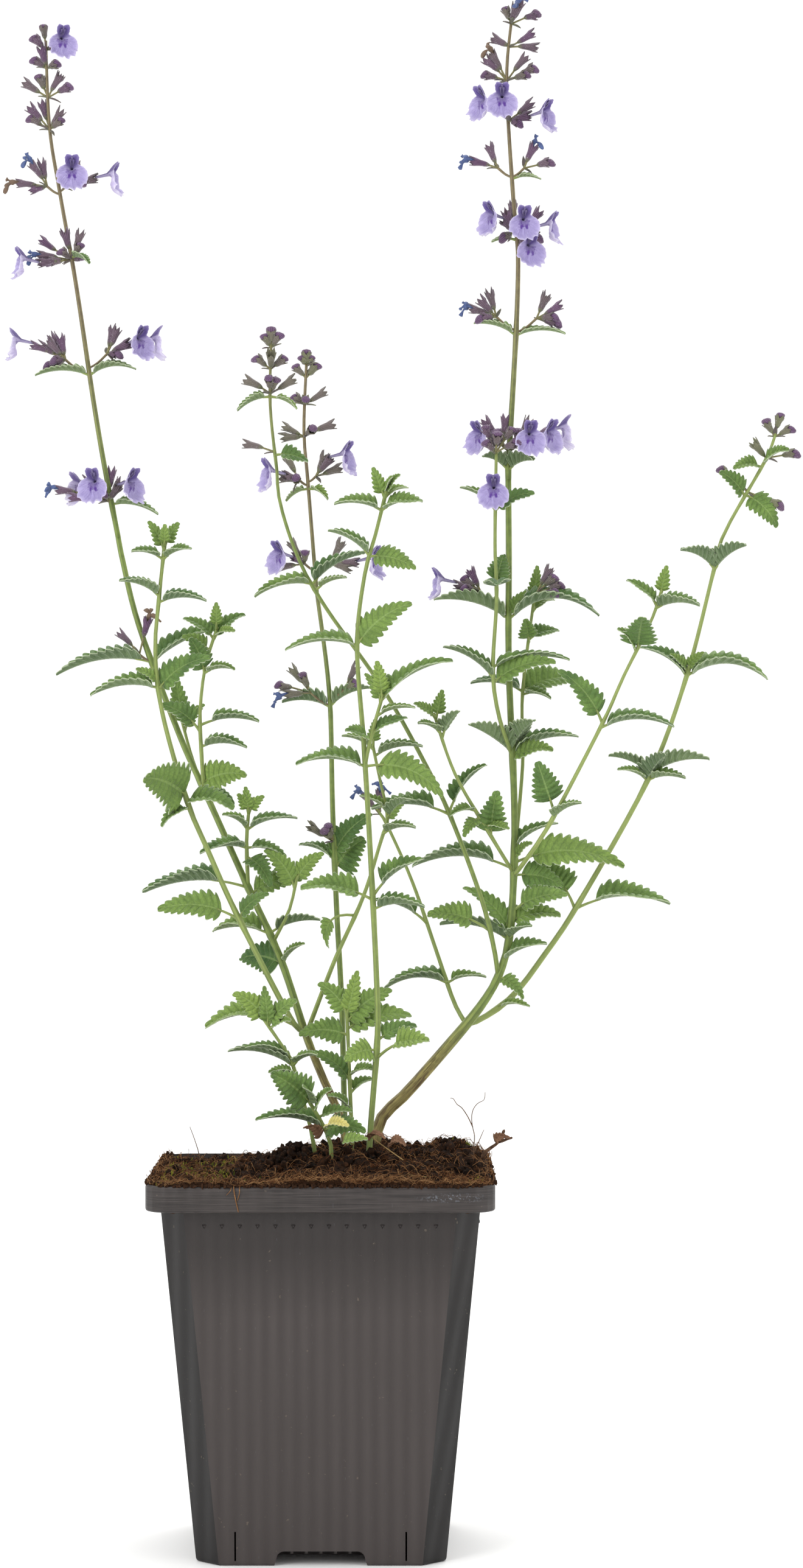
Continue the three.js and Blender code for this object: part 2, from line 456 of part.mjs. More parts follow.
function roundedSquare(width, radius, depth, z) {
  const h = width / 2 - radius;
  const shape = new THREE.Shape();
  shape.absarc(h, h, radius, 0, Math.PI / 2);
  shape.absarc(-h, h, radius, Math.PI / 2, Math.PI);
  shape.absarc(-h, -h, radius, Math.PI, 1.5 * Math.PI);
  shape.absarc(h, -h, radius, 1.5 * Math.PI, 2 * Math.PI);
  const geometry = new THREE.ExtrudeGeometry(shape,
    { depth, curveSegments: 3, bevelEnabled: false });
  return solidOf(geometry.translate(0, 0, z));
}

function box(x0, x1, y0, y1, z0, z1) {
  const geometry = new THREE.BoxGeometry(x1 - x0, y1 - y0, z1 - z0);
  return solidOf(geometry.translate((x0 + x1) / 2, (y0 + y1) / 2, (z0 + z1) / 2));
}

const bodyTop = POT.height - POT.rimHeight;

// The pot's inside, with its walls moved inward by an extra gap.
function potInside(gap) {
  const inset = POT.wall + gap;
  const slope = (POT.topWidth - POT.footWidth) / bodyTop;
  const widthAt = (z) => POT.footWidth + slope * z - 2 * inset;
  const shoulder = bodyTop + inset;
  const lower = loft([
    chamferedSquare(widthAt(inset), POT.chamfer, inset),
    chamferedSquare(widthAt(shoulder), POT.chamfer, shoulder + MERGE),
  ]);
  const upper = roundedSquare(POT.rimWidth - 2 * inset, POT.rimCorner - inset,
    POT.height, shoulder);
  return union([lower, upper]).subtract(union(notches(inset)));
}

// The four drainage notches, grown by a wall thickness or not at all.
function notches(grow) {
  const half = POT.notchWidth / 2 + grow;
  const near = POT.footWidth / 2 - POT.notchDepth - grow;
  const arm = box(-half, half, near, POT.rimWidth / 2, -grow - MERGE, POT.notchHeight + grow);
  return [0, 90, 180, 270].map((turn) => arm.rotate([0, 0, turn]));
}

function slits() {
  const reach = POT.footWidth / 2;
  const cuts = [];
  for (const turn of [0, 90, 180, 270]) {
    for (const side of [-1, 1]) {
      const x = side * POT.slitOffset;
      cuts.push(box(x - POT.slitWidth / 2, x + POT.slitWidth / 2, reach - 2 * POT.wall,
        reach + 2 * POT.wall, POT.slitFrom, POT.slitTo).rotate([0, 0, turn]));
    }
  }
  return cuts;
}

function drainSlots() {
  const half = POT.slotLength / 2;
  const near = POT.footWidth / 2 - POT.notchDepth + POT.slotInset;
  const slot = box(-half, half, near, near + POT.slotWidth, 0,
    POT.notchHeight + 2 * POT.wall);
  return [0, 90, 180, 270].map((turn) => slot.rotate([0, 0, turn]));
}

function pot() {
  const body = loft([
    chamferedSquare(POT.footWidth, POT.chamfer, 0),
    chamferedSquare(POT.topWidth, POT.chamfer, bodyTop + MERGE),
  ]);
  const rim = roundedSquare(POT.rimWidth, POT.rimCorner, POT.rimHeight, bodyTop);
  return union([body, rim]).subtract(potInside(0))
    .subtract(union([...notches(0), ...slits(), ...drainSlots()]));
}

// ---------------------------------------------------------------- the potting mix

// A seeded random number source, from 0 to 1.
function seeded(seed) {
  let state = seed;
  return () => {
    state = (state * 1664525 + 1013904223) % 4294967296;
    return state / 4294967296;
  };
}

// The height of a rounded heap at a point.
function heap(x, y, height, [cx, cy], [sx, sy]) {
  return height * Math.exp(-(((x - cx) / sx) ** 2) - ((y - cy) / sy) ** 2);
}

function mixHeight(x, y) {
  return MIX.level + heap(x, y, MIX.mound, MIX.moundAt, MIX.moundSpread)
    + heap(x, y, MIX.lump, MIX.lumpAt, MIX.lumpSpread);
}

function pottingMix() {
  const n = MIX.cells;
  const half = POT.rimWidth / 2;
  const random = seeded(MIX.seed);
  const corners = [];
  for (let j = 0; j <= n; j++) {
    for (let i = 0; i <= n; i++) {
      const x = half * (2 * i / n - 1);
      const y = half * (2 * j / n - 1);
      const crumb = MIX.crumb * (2 * random() - 1);
      corners.push(vec(x, y, mixHeight(x, y) + crumb));
    }
  }
  const foot = corners.length;
  const at = (i, j) => j * (n + 1) + i;
  const rim = [];
  for (let i = 0; i < n; i++) rim.push(at(i, 0));
  for (let j = 0; j < n; j++) rim.push(at(n, j));
  for (let i = n; i > 0; i--) rim.push(at(i, n));
  for (let j = n; j > 0; j--) rim.push(at(0, j));
  for (const k of rim) corners.push(vec(corners[k].x, corners[k].y, 0));
  corners.push(vec(0, 0, 0));
  const triangles = [];
  for (let j = 0; j < n; j++) {
    for (let i = 0; i < n; i++) {
      triangles.push([at(i, j), at(i + 1, j), at(i + 1, j + 1)],
        [at(i, j), at(i + 1, j + 1), at(i, j + 1)]);
    }
  }
  for (let k = 0; k < rim.length; k++) {
    const next = (k + 1) % rim.length;
    triangles.push([foot + k, foot + next, rim[next]], [foot + k, rim[next], rim[k]],
      [foot + next, foot + k, corners.length - 1]);
  }
  return solid(corners, triangles).intersect(potInside(CLEAR));
}

// ---------------------------------------------------------------- stems

// Thickness of a stem at a height.
function thicknessAt(stem, z) {
  const steps = stem.thick;
  if (z <= steps[0][0]) return steps[0][1];
  for (let i = 1; i < steps.length; i++) {
    const [z0, d0] = steps[i - 1];
    const [z1, d1] = steps[i];
    if (z <= z1) return d0 + (d1 - d0) * (z - z0) / (z1 - z0);
  }
  return steps[steps.length - 1][1];
}

// The drawn point of a stem at a height.
function pointAt(stem, z) {
  const path = stem.path;
  for (let i = 1; i < path.length; i++) {
    if (z <= path[i][2] || i === path.length - 1) {
      const low = path[i - 1];
      const share = (z - low[2]) / (path[i][2] - low[2]);
      return low.map((value, k) => value + (path[i][k] - value) * share);
    }
  }
  return path[0];
}

// The part of a path between two heights.
function stretch(stem, from, to) {
  const inside = stem.path.filter((p) => p[2] > from + NEAR && p[2] < to - NEAR);
  return [pointAt(stem, from), ...inside, pointAt(stem, to)];
}

// The square tube of a stem between two heights, thickened by grow on each side.
function stemTube(stem, from, to, grow = 0) {
  const points = stretch(stem, from, to);
  const centres = points.map((point) => placeOn(stem, point));
  let across = vec(0.35, -1, 0);
  const rings = centres.map((centre, k) => {
    const before = centres[Math.max(k - 1, 0)];
    const after = centres[Math.min(k + 1, centres.length - 1)];
    const along = after.clone().sub(before).normalize();
    across = across.clone().addScaledVector(along, -across.dot(along)).normalize();
    const other = along.clone().cross(across);
    const radius = CORNER * thicknessAt(stem, points[k][2]) + grow;
    return Array.from({ length: 4 }, (_, i) => {
      const angle = Math.PI * (i + 0.5) / 2;
      return centre.clone().addScaledVector(across, radius * Math.cos(angle))
        .addScaledVector(other, radius * Math.sin(angle));
    });
  });
  return loft(rings);
}

// ---------------------------------------------------------------- leaves

// Half width of a blade at a share u of its length, for a width of 1.
const bladeOutline = (u) => 0.83 * (1 - u) ** 0.55 * (u + 0.08) ** 0.3;

// A leaf with rounded teeth: a three-sided stalk that opens into two blade halves,
// folded up along the midrib. Both faces are cut into the same triangles. One that is
// drawn shorter than its natural length reaches forward or back by the rest.
function leaf(stem, [height, x, y, z, width, roll, stalkShare, arch]) {
  const from = pointAt(stem, height);
  const root = placeOn(stem, from);
  const drawn = Math.hypot(x - from[0], z - from[2]);
  const hidden = Math.sqrt(Math.max((BLADE_RATIO * width) ** 2 - drawn ** 2, 0));
  const depth = Math.max(Math.abs(y - from[1]), hidden) * (y < from[1] ? -1 : 1);
  const axis = placeOn(stem, [x, from[1] + depth, z]).sub(root);
  const length = axis.length();
  const stalk = Math.max(stalkShare, LEAST_STALK / length);
  const along = axis.clone().normalize();
  const lean = radians(roll);
  const face = vec(0, -Math.sin(lean), Math.cos(lean));
  const up = face.addScaledVector(along, -face.dot(along)).normalize();
  const side = along.clone().cross(up);
  const rise = vec(0, 0, 1).addScaledVector(along, -along.z);
  const bow = rise.length() > 0.4 ? rise.normalize() : up;

  const centre = (t) => root.clone().addScaledVector(axis, t)
    .addScaledVector(bow, 4 * arch * length * t * (1 - t));
  const lift = (t) => {
    const ahead = centre(t + STEP).sub(centre(t - STEP));
    return side.clone().cross(ahead).normalize();
  };
  const bladeLength = (1 - stalk) * length;
  const teeth = bladeLength > LONG_BLADE ? 4 : bladeLength > MIDDLE_BLADE ? 3 : 2;

  const corners = [];
  const add = (corner) => corners.push(corner) - 1;
  const stalkFace = lift(Math.max(stalk, STEP));
  const ring = (t) => [
    add(centre(t).addScaledVector(side, PETIOLE)),
    add(centre(t).addScaledVector(stalkFace, -1.5 * PETIOLE)),
    add(centre(t).addScaledVector(side, -PETIOLE)),
  ];
  ring(0);
  const [right, under, left] = ring(stalk);

  // The outline from the stalk to the tip: tooth, cut, tooth, cut, ... tip.
  const shares = [];
  for (let k = 0; k < teeth; k++) {
    shares.push([(k + TOOTH_AT) / teeth * TOOTHED, 1]);
    if (k < teeth - 1) shares.push([(k + 1) / teeth * TOOTHED, TOOTH_CUT]);
  }
  const edge = (u, cut, sign) => {
    const t = stalk + (1 - stalk) * u;
    const half = Math.max(width * bladeOutline(u) * cut, PETIOLE);
    return centre(t).addScaledVector(side, sign * half).addScaledVector(lift(t), FOLD * half);
  };
  const tip = add(centre(1));
  const rights = [right, ...shares.map(([u, cut]) => add(edge(u, cut, 1))), tip];
  const lefts = [left, ...shares.map(([u, cut]) => add(edge(u, cut, -1))), tip];
  const middle = stalk + (1 - stalk) * 0.5;
  const midTop = add(centre(middle));
  const midUnder = add(centre(middle).addScaledVector(lift(middle), -BLADE));

  const triangles = [[0, 2, 1], [left, right, midTop], [right, under, midUnder],
    [under, left, midUnder], ...sleeve(0, 3)];
  for (let i = 0; i < rights.length - 1; i++) {
    triangles.push([midTop, rights[i], rights[i + 1]], [midTop, lefts[i + 1], lefts[i]],
      [midUnder, rights[i + 1], rights[i]], [midUnder, lefts[i], lefts[i + 1]]);
  }
  return solid(corners, triangles);
}

// ---------------------------------------------------------------- flowers

// Three directions: along, and two square to it, the second as near up as it goes.
function frameAlong(along) {
  const guide = Math.abs(along.z) > 0.95 ? vec(0, -1, 0) : vec(0, 0, 1);
  const up = guide.addScaledVector(along, -guide.dot(along)).normalize();
  return { along, right: along.clone().cross(up), up };
}

// A calyx: a thin stalk that widens to a mouth with pointed teeth. The middle of the
// mouth is sunk where it is empty, and stands out as a bud or a wilted corolla.
function calyx(root, tip, kind) {
  const reach = tip.distanceTo(root);
  const { along, right, up } = frameAlong(tip.clone().sub(root).normalize());
  const at = (forward, radius, angle) => root.clone().addScaledVector(along, forward)
    .addScaledVector(up, radius * Math.cos(angle))
    .addScaledVector(right, radius * Math.sin(angle));
  const neck = Math.max(reach - CALYX.length, 0.25 * reach);
  const rim = reach - CALYX.tooth;
  const corners = [];
  for (const [forward, radius] of [[0, CALYX.root], [neck, CALYX.neck]]) {
    for (let i = 0; i < 3; i++) corners.push(at(forward, radius, 2 * Math.PI * i / 3));
  }
  const n = 2 * CALYX.teeth;
  for (let i = 0; i < n; i++) {
    const [forward, radius] = i % 2 ? [reach, CALYX.flare] : [rim, CALYX.mouth];
    corners.push(at(forward, radius, 2 * Math.PI * i / n));
  }
  const centre = corners.push(at(rim + MOUTH[kind], 0, 0)) - 1;
  return solid(corners, [[0, 2, 1], ...sleeve(0, 3), ...collar(3, 3, 6, n),
    ...fan(centre, 6, n)]);
}

// A corolla: a tube that opens into an upper lip with two lobes and a longer, spreading
// lower lip. Its limb is one outline round the throat.
function corollaShape() {
  const rightSide = COROLLA.side.map(([x, y, z]) => vec(x, y, z));
  const leftSide = COROLLA.side.map(([x, y, z]) => vec(-x, y, z)).reverse();
  const limb = [vec(...COROLLA.upperNotch), ...rightSide, vec(...COROLLA.lowerNotch),
    ...leftSide];
  const ringAt = (y, radius, drop) => [0, 1, 2, 3].map((i) => {
    const angle = Math.PI * i / 2;
    return vec(radius * Math.sin(angle), y, radius * Math.cos(angle) - drop);
  });
  const corners = [...ringAt(-COROLLA.tube, COROLLA.foot, COROLLA.footDrop),
    ...ringAt(-COROLLA.waist, COROLLA.waistRadius, COROLLA.waistDrop), ...limb,
    vec(0, -COROLLA.throat, 0)];
  const n = limb.length;
  return solid(corners, [[0, 2, 1], [0, 3, 2], ...sleeve(0, 4),
    ...collar(4, 4, 8, n), ...fan(8 + n, 8, n)]);
}

// ---------------------------------------------------------------- assembly

const plant = new THREE.Group();

function addNode(name, shape, colour, roughness = 0.8) {
  const mesh = shape.getMesh();
  const geometry = new THREE.BufferGeometry();
  geometry.setAttribute("position", new THREE.BufferAttribute(mesh.vertProperties, 3));
  geometry.setIndex(new THREE.BufferAttribute(mesh.triVerts, 1));
  const node = new THREE.Mesh(geometry,
    new THREE.MeshStandardMaterial({ color: colour, roughness, metalness: 0 }));
  node.name = name;
  plant.add(node);
}

// The direction that a corolla faces for its turn.
const facing = (turn) => vec(Math.sin(radians(turn)), -Math.cos(radians(turn)), 0);

// The calyx that holds an open corolla.
function calyxOf(heart, mouth, turn) {
  const tip = mouth.clone().addScaledVector(facing(turn), COROLLA.seat - COROLLA.tube);
  tip.z -= COROLLA.calyxDrop;
  return calyx(heart, tip, 0);
}

// A whorl: the peduncle to its fan point, where the calyces' stalks meet in a small
// knot of bracts, the calyces, and those behind its open corollas.
function whorlSolids(stem, [where, tips, mouths]) {
  const fanned = Array.isArray(where);
  const drawn = fanned ? where : pointAt(stem, where);
  const heart = placeOn(stem, drawn);
  const solids = tips.map(([x, y, z, kind]) => calyx(heart, placeOn(stem, [x, y, z]), kind));
  for (const [x, y, z, turn] of mouths) {
    solids.push(calyxOf(heart, placeOn(stem, [x, y, z]), turn));
  }
  if (fanned) {
    const nearest = pointAt(stem, drawn[2]);
    const low = drawn[2] - PEDUNCLE.slope * Math.abs(drawn[0] - nearest[0]);
    const start = placeOn(stem, pointAt(stem, low));
    solids.push(peduncle(start, heart));
  }
  return solids;
}

// A flower stalk that widens to the knot of bracts at its end.
function peduncle(start, heart) {
  const { along, right, up } = frameAlong(heart.clone().sub(start).normalize());
  const ring = (forward, radius) => [0, 1, 2].map((i) => start.clone()
    .addScaledVector(along, forward)
    .addScaledVector(up, radius * Math.cos(2 * Math.PI * i / 3))
    .addScaledVector(right, radius * Math.sin(2 * Math.PI * i / 3)));
  return loft([ring(0, PEDUNCLE.radius),
    ring(heart.distanceTo(start) + PEDUNCLE.past, PEDUNCLE.knot)]);
}

// The height of a whorl, from the layout's fan point or height.
const whorlHeight = ([where]) => (Array.isArray(where) ? where[2] : where);

const holes = [];
const corollas = [];

for (const stem of STEMS) {
  const low = stem.path[0][2];
  const high = stem.path[stem.path.length - 1][2];
  const split = stem.spike_from ?? high;
  const green = [stemTube(stem, low, split)];
  const purple = [];
  if (stem.spike_from) purple.push(stemTube(stem, split + CLEAR, high));
  for (const entry of stem.leaves) {
    (entry[0] > split ? purple : green).push(leaf(stem, entry));
  }
  for (const whorl of stem.whorls ?? []) {
    (whorlHeight(whorl) > split ? purple : green).push(...whorlSolids(stem, whorl));
  }
  for (const shoot of stem.shoots ?? []) {
    const first = shoot.path[0][2];
    const end = shoot.path[shoot.path.length - 1][2];
    green.push(stemTube(shoot, first, end));
    for (const entry of shoot.leaves) green.push(leaf(shoot, entry));
    for (const whorl of shoot.whorls ?? []) green.push(...whorlSolids(shoot, whorl));
  }
  let body = union(green);
  if (stem.on) {
    const parent = stemsByName.get(stem.on);
    body = body.subtract(stemTube(parent, low - FORK, low + FORK, HOLE_GAP));
  } else {
    holes.push(stemTube(stem, low - HOLE_END, HOLE_TOP, HOLE_GAP));
  }
  if (stem.dead) addNode(stem.name, body, COLOURS.litter);
  else addNode(`stem_${stem.name}`, body, COLOURS.leaf);
  if (purple.length) addNode(`spike_${stem.name}`, union(purple), COLOURS.spike);
  const flowering = [stem, ...(stem.shoots ?? [])];
  for (const whorl of flowering.flatMap((part) => part.whorls ?? [])) {
    for (const mouth of whorl[2]) corollas.push({ stem, mouth });
  }
}

const corolla = corollaShape();
corollas.forEach(({ stem, mouth: [x, y, z, turn] }, index) => {
  const spot = placeOn(stem, [x, y, z]);
  const body = corolla.rotate([0, 0, 180 + turn]).translate([spot.x, spot.y, spot.z]);
  addNode(`corolla_${stem.name}_${index + 1}`, body, COLOURS.corolla, 0.6);
});

addNode("potting_mix", pottingMix().subtract(union(holes)), COLOURS.mix, 1.0);
addNode("pot", pot(), COLOURS.plastic, 0.45);

export default plant;
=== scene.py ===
"""A young garden catmint in the square nursery pot it grows in.

Plant, potting mix and pot are laid out from the same table and the same few sizes as
the solids that they dress. Shapes are worked out in millimetres in the row frame and
brought to metres as each piece is finished.
"""

import math
import random

import bmesh
import bpy
from mathutils import Euler, Matrix, Vector, noise


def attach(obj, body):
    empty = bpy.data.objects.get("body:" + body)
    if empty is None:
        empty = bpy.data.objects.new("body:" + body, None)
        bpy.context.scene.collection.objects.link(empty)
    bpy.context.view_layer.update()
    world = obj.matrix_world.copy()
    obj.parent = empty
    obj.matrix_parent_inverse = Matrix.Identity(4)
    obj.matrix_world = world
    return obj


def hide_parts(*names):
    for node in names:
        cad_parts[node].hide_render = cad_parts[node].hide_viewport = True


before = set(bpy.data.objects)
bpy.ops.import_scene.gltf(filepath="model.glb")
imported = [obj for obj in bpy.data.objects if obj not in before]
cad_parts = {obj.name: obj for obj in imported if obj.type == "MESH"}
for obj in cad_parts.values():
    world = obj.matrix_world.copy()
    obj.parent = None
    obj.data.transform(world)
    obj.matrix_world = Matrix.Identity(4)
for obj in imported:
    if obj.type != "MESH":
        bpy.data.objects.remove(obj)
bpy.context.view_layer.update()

MM = 0.001

# ------------------------------------------------------------------ driving sizes, mm

POT_HEIGHT, RIM_WIDTH, RIM_HEIGHT, RIM_CORNER = 121.2, 110.0, 8.2, 9.0
TOP_WIDTH, FOOT_WIDTH, CHAMFER, WALL = 100.7, 79.4, 7.5, 1.2
BODY_TOP = POT_HEIGHT - RIM_HEIGHT
NOTCH_WIDTH, NOTCH_HEIGHT, NOTCH_DEPTH = 28.0, 4.7, 18.0
SLIT_OFFSET, SLIT_WIDTH, SLIT_FROM, SLIT_TO = 27.0, 0.55, 1.6, 11.0
FLUTE = 4.9  # spacing of the faint flutes down the pot's sides
WEDGES, WEDGES_AT = 14, 108.5  # how many under the rim on each side, and their height
RIB_SPACING = 4.6
MIX_LEVEL = 120.4
HEAPS = [(8.6, 14, 2, 32, 40), (5.2, 44, 4, 9, 22)]  # height, x, y, spread in x and y

CLEAR = 0.3  # between the pot and its mix
RIM_HALF = RIM_WIDTH / 2
MIX_HALF = RIM_HALF - WALL - CLEAR
SKIRT = 9.0  # how far the mix's skin reaches down inside the rim
SPIKE_CLEAR = 0.02  # between a stem and the flower spike on top of it
LEAF_THICKNESS, PETAL_THICKNESS = 0.3, 0.2
# A blade with a small roll is closed like a V and leans little; a large roll opens it.
FOLD = (47, 13)  # degrees that each half rises, closed and open
OPEN_ROLLS, CLOSED_LEAN = (42, 72), 0.4
TEETH_SHARE = 2.15  # teeth a side, per root of the length in mm
TOOTH_PEAK = 0.66  # where in its own length a tooth stands out most
LEAST_STALK = 2.2
PLAIN_STALK = (0.1, 0.1)
BLADE_RATIO = 1.9  # length of a blade that points at the camera, per its width
TOOTH_DEPTH = 0.27  # of a blade's half width
QUILT = 0.09  # height of a blade's cushions between its veins, per its width
YOUNG_WIDTHS = (4.0, 8.5)  # a blade of the first is young, one of the second is grown
VEIN_SLANT = 1.1  # side veins run this many teeth forward on their way to the edge
KNOT_SPREAD = 2.0  # how far up and down a stem swells where leaves stand
WOODY = (150, 176)  # the two tall stems are woody below the first height
BROWN_FROM = {"left": 325, "right": 335, "back": 262, "middle": 330}
CALYX_LENGTH, CALYX_TOOTH, CALYX_RIBS = 6.6, 1.7, 15
# Radius of a calyx, in mm, at shares of its length.
CALYX_SHAPE = [(0.0, 0.35), (0.06, 0.55), (0.3, 0.82), (0.6, 0.92), (0.8, 1.05), (1.0, 1.38)]
EMPTY, IN_BUD, WILTED_OUT = 0, 1, 2
TUBE_LENGTH, SEAT, CALYX_DROP = 6.2, 0.8, 0.9
THROAT_FROM = 0.3  # share of a corolla's mesh that is its tube
# The limb by its angle from the top: four points out from the throat, each its radius
# and how far forward it is. Two lobes of the upper lip, a cheek, and the lower lip.
LIMB = [
    (0, [(0.8, -1.7), (2.0, -0.9), (3.1, 0.2), (3.9, 1.2)]),
    (10, [(0.8, -1.7), (2.0, -0.9), (3.4, 0.4), (4.3, 1.6)]),
    (22, [(0.8, -1.7), (2.0, -0.9), (3.5, 0.5), (4.6, 1.9)]),
    (34, [(0.8, -1.7), (1.9, -0.8), (3.1, 0.4), (4.1, 1.6)]),
    (46, [(0.8, -1.7), (1.7, -0.8), (2.5, 0.1), (3.1, 0.9)]),
    (58, [(0.7, -1.7), (1.5, -0.9), (2.0, -0.1), (2.4, 0.5)]),
    (74, [(0.7, -1.7), (1.5, -0.8), (2.3, 0.0), (3.0, 0.5)]),
    (90, [(0.6, -1.6), (1.6, -0.5), (2.9, 0.3), (4.1, 0.9)]),
    (104, [(0.5, -1.5), (1.7, -0.4), (3.5, 0.2), (5.1, 1.0)]),
    (119, [(0.5, -1.4), (1.8, -0.3), (4.0, 0.0), (5.9, 1.1)]),
    (133, [(0.4, -1.3), (2.0, -0.2), (4.6, -0.2), (6.5, 1.5)]),
    (150, [(0.4, -1.2), (2.2, 0.0), (5.0, -0.4), (7.0, 2.2)]),
    (168, [(0.4, -1.1), (2.2, 0.2), (5.2, -0.5), (7.3, 2.7)]),
    (180, [(0.4, -1.1), (2.1, 0.2), (5.0, -0.4), (7.0, 2.5)]),
]
CRUMBS, RIM_CRUMBS, CLODS, MOUND_CLODS = 2300, 1500, 140, 110
FIBRES, FRINGE_FIBRES, MOSS_TUFTS = 1080, 640, 800
SCUFFS_AT = Vector((41.5, -55.0, 117.8))  # the worn patch on the rim
SCUFFS_FADE = Vector((0.1, 0.2, 0.72))  # how fast it fades, per mm
STANDPOINT = Vector((25.5, -1250.0, 246.8))
TUBE_GUIDE = (0.35, -1, 0.02)

# The places of the materials on a stem's mesh, and on the mesh of its leaves.
STEM_SLOT, BUD_SLOT, WILTED_SLOT, DOWN_SLOT = 0, 1, 2, 3
LEAF_SLOT, CALYX_SLOT = 0, 2

# ------------------------------------------------------------------ the layout
# Each stem: its path [x, y, z] from the root up, its thickness at heights, and
#   leaves  [height on the stem, tip x, y, z, width, roll, stalk share, arch], where
#           the last two are 0.1 if they aren't given
#   whorls  [fan point or height, [calyx tips: x, y, z, kind], [corolla mouths:
#           x, y, z, turn]]
#   shoots  thinner branches grown as one with it
# A roll of 0 lays a blade flat and 90 turns its face to the front. A turn of 0
# faces a corolla to the front, 90 to the right and -90 to the left.
# Calyx kinds: 0 empty, 1 bud, 2 wilted corolla hanging out. All in mm, drawn as seen
# from the standpoint in the plane y = 0, with y as the depth that is set for it.

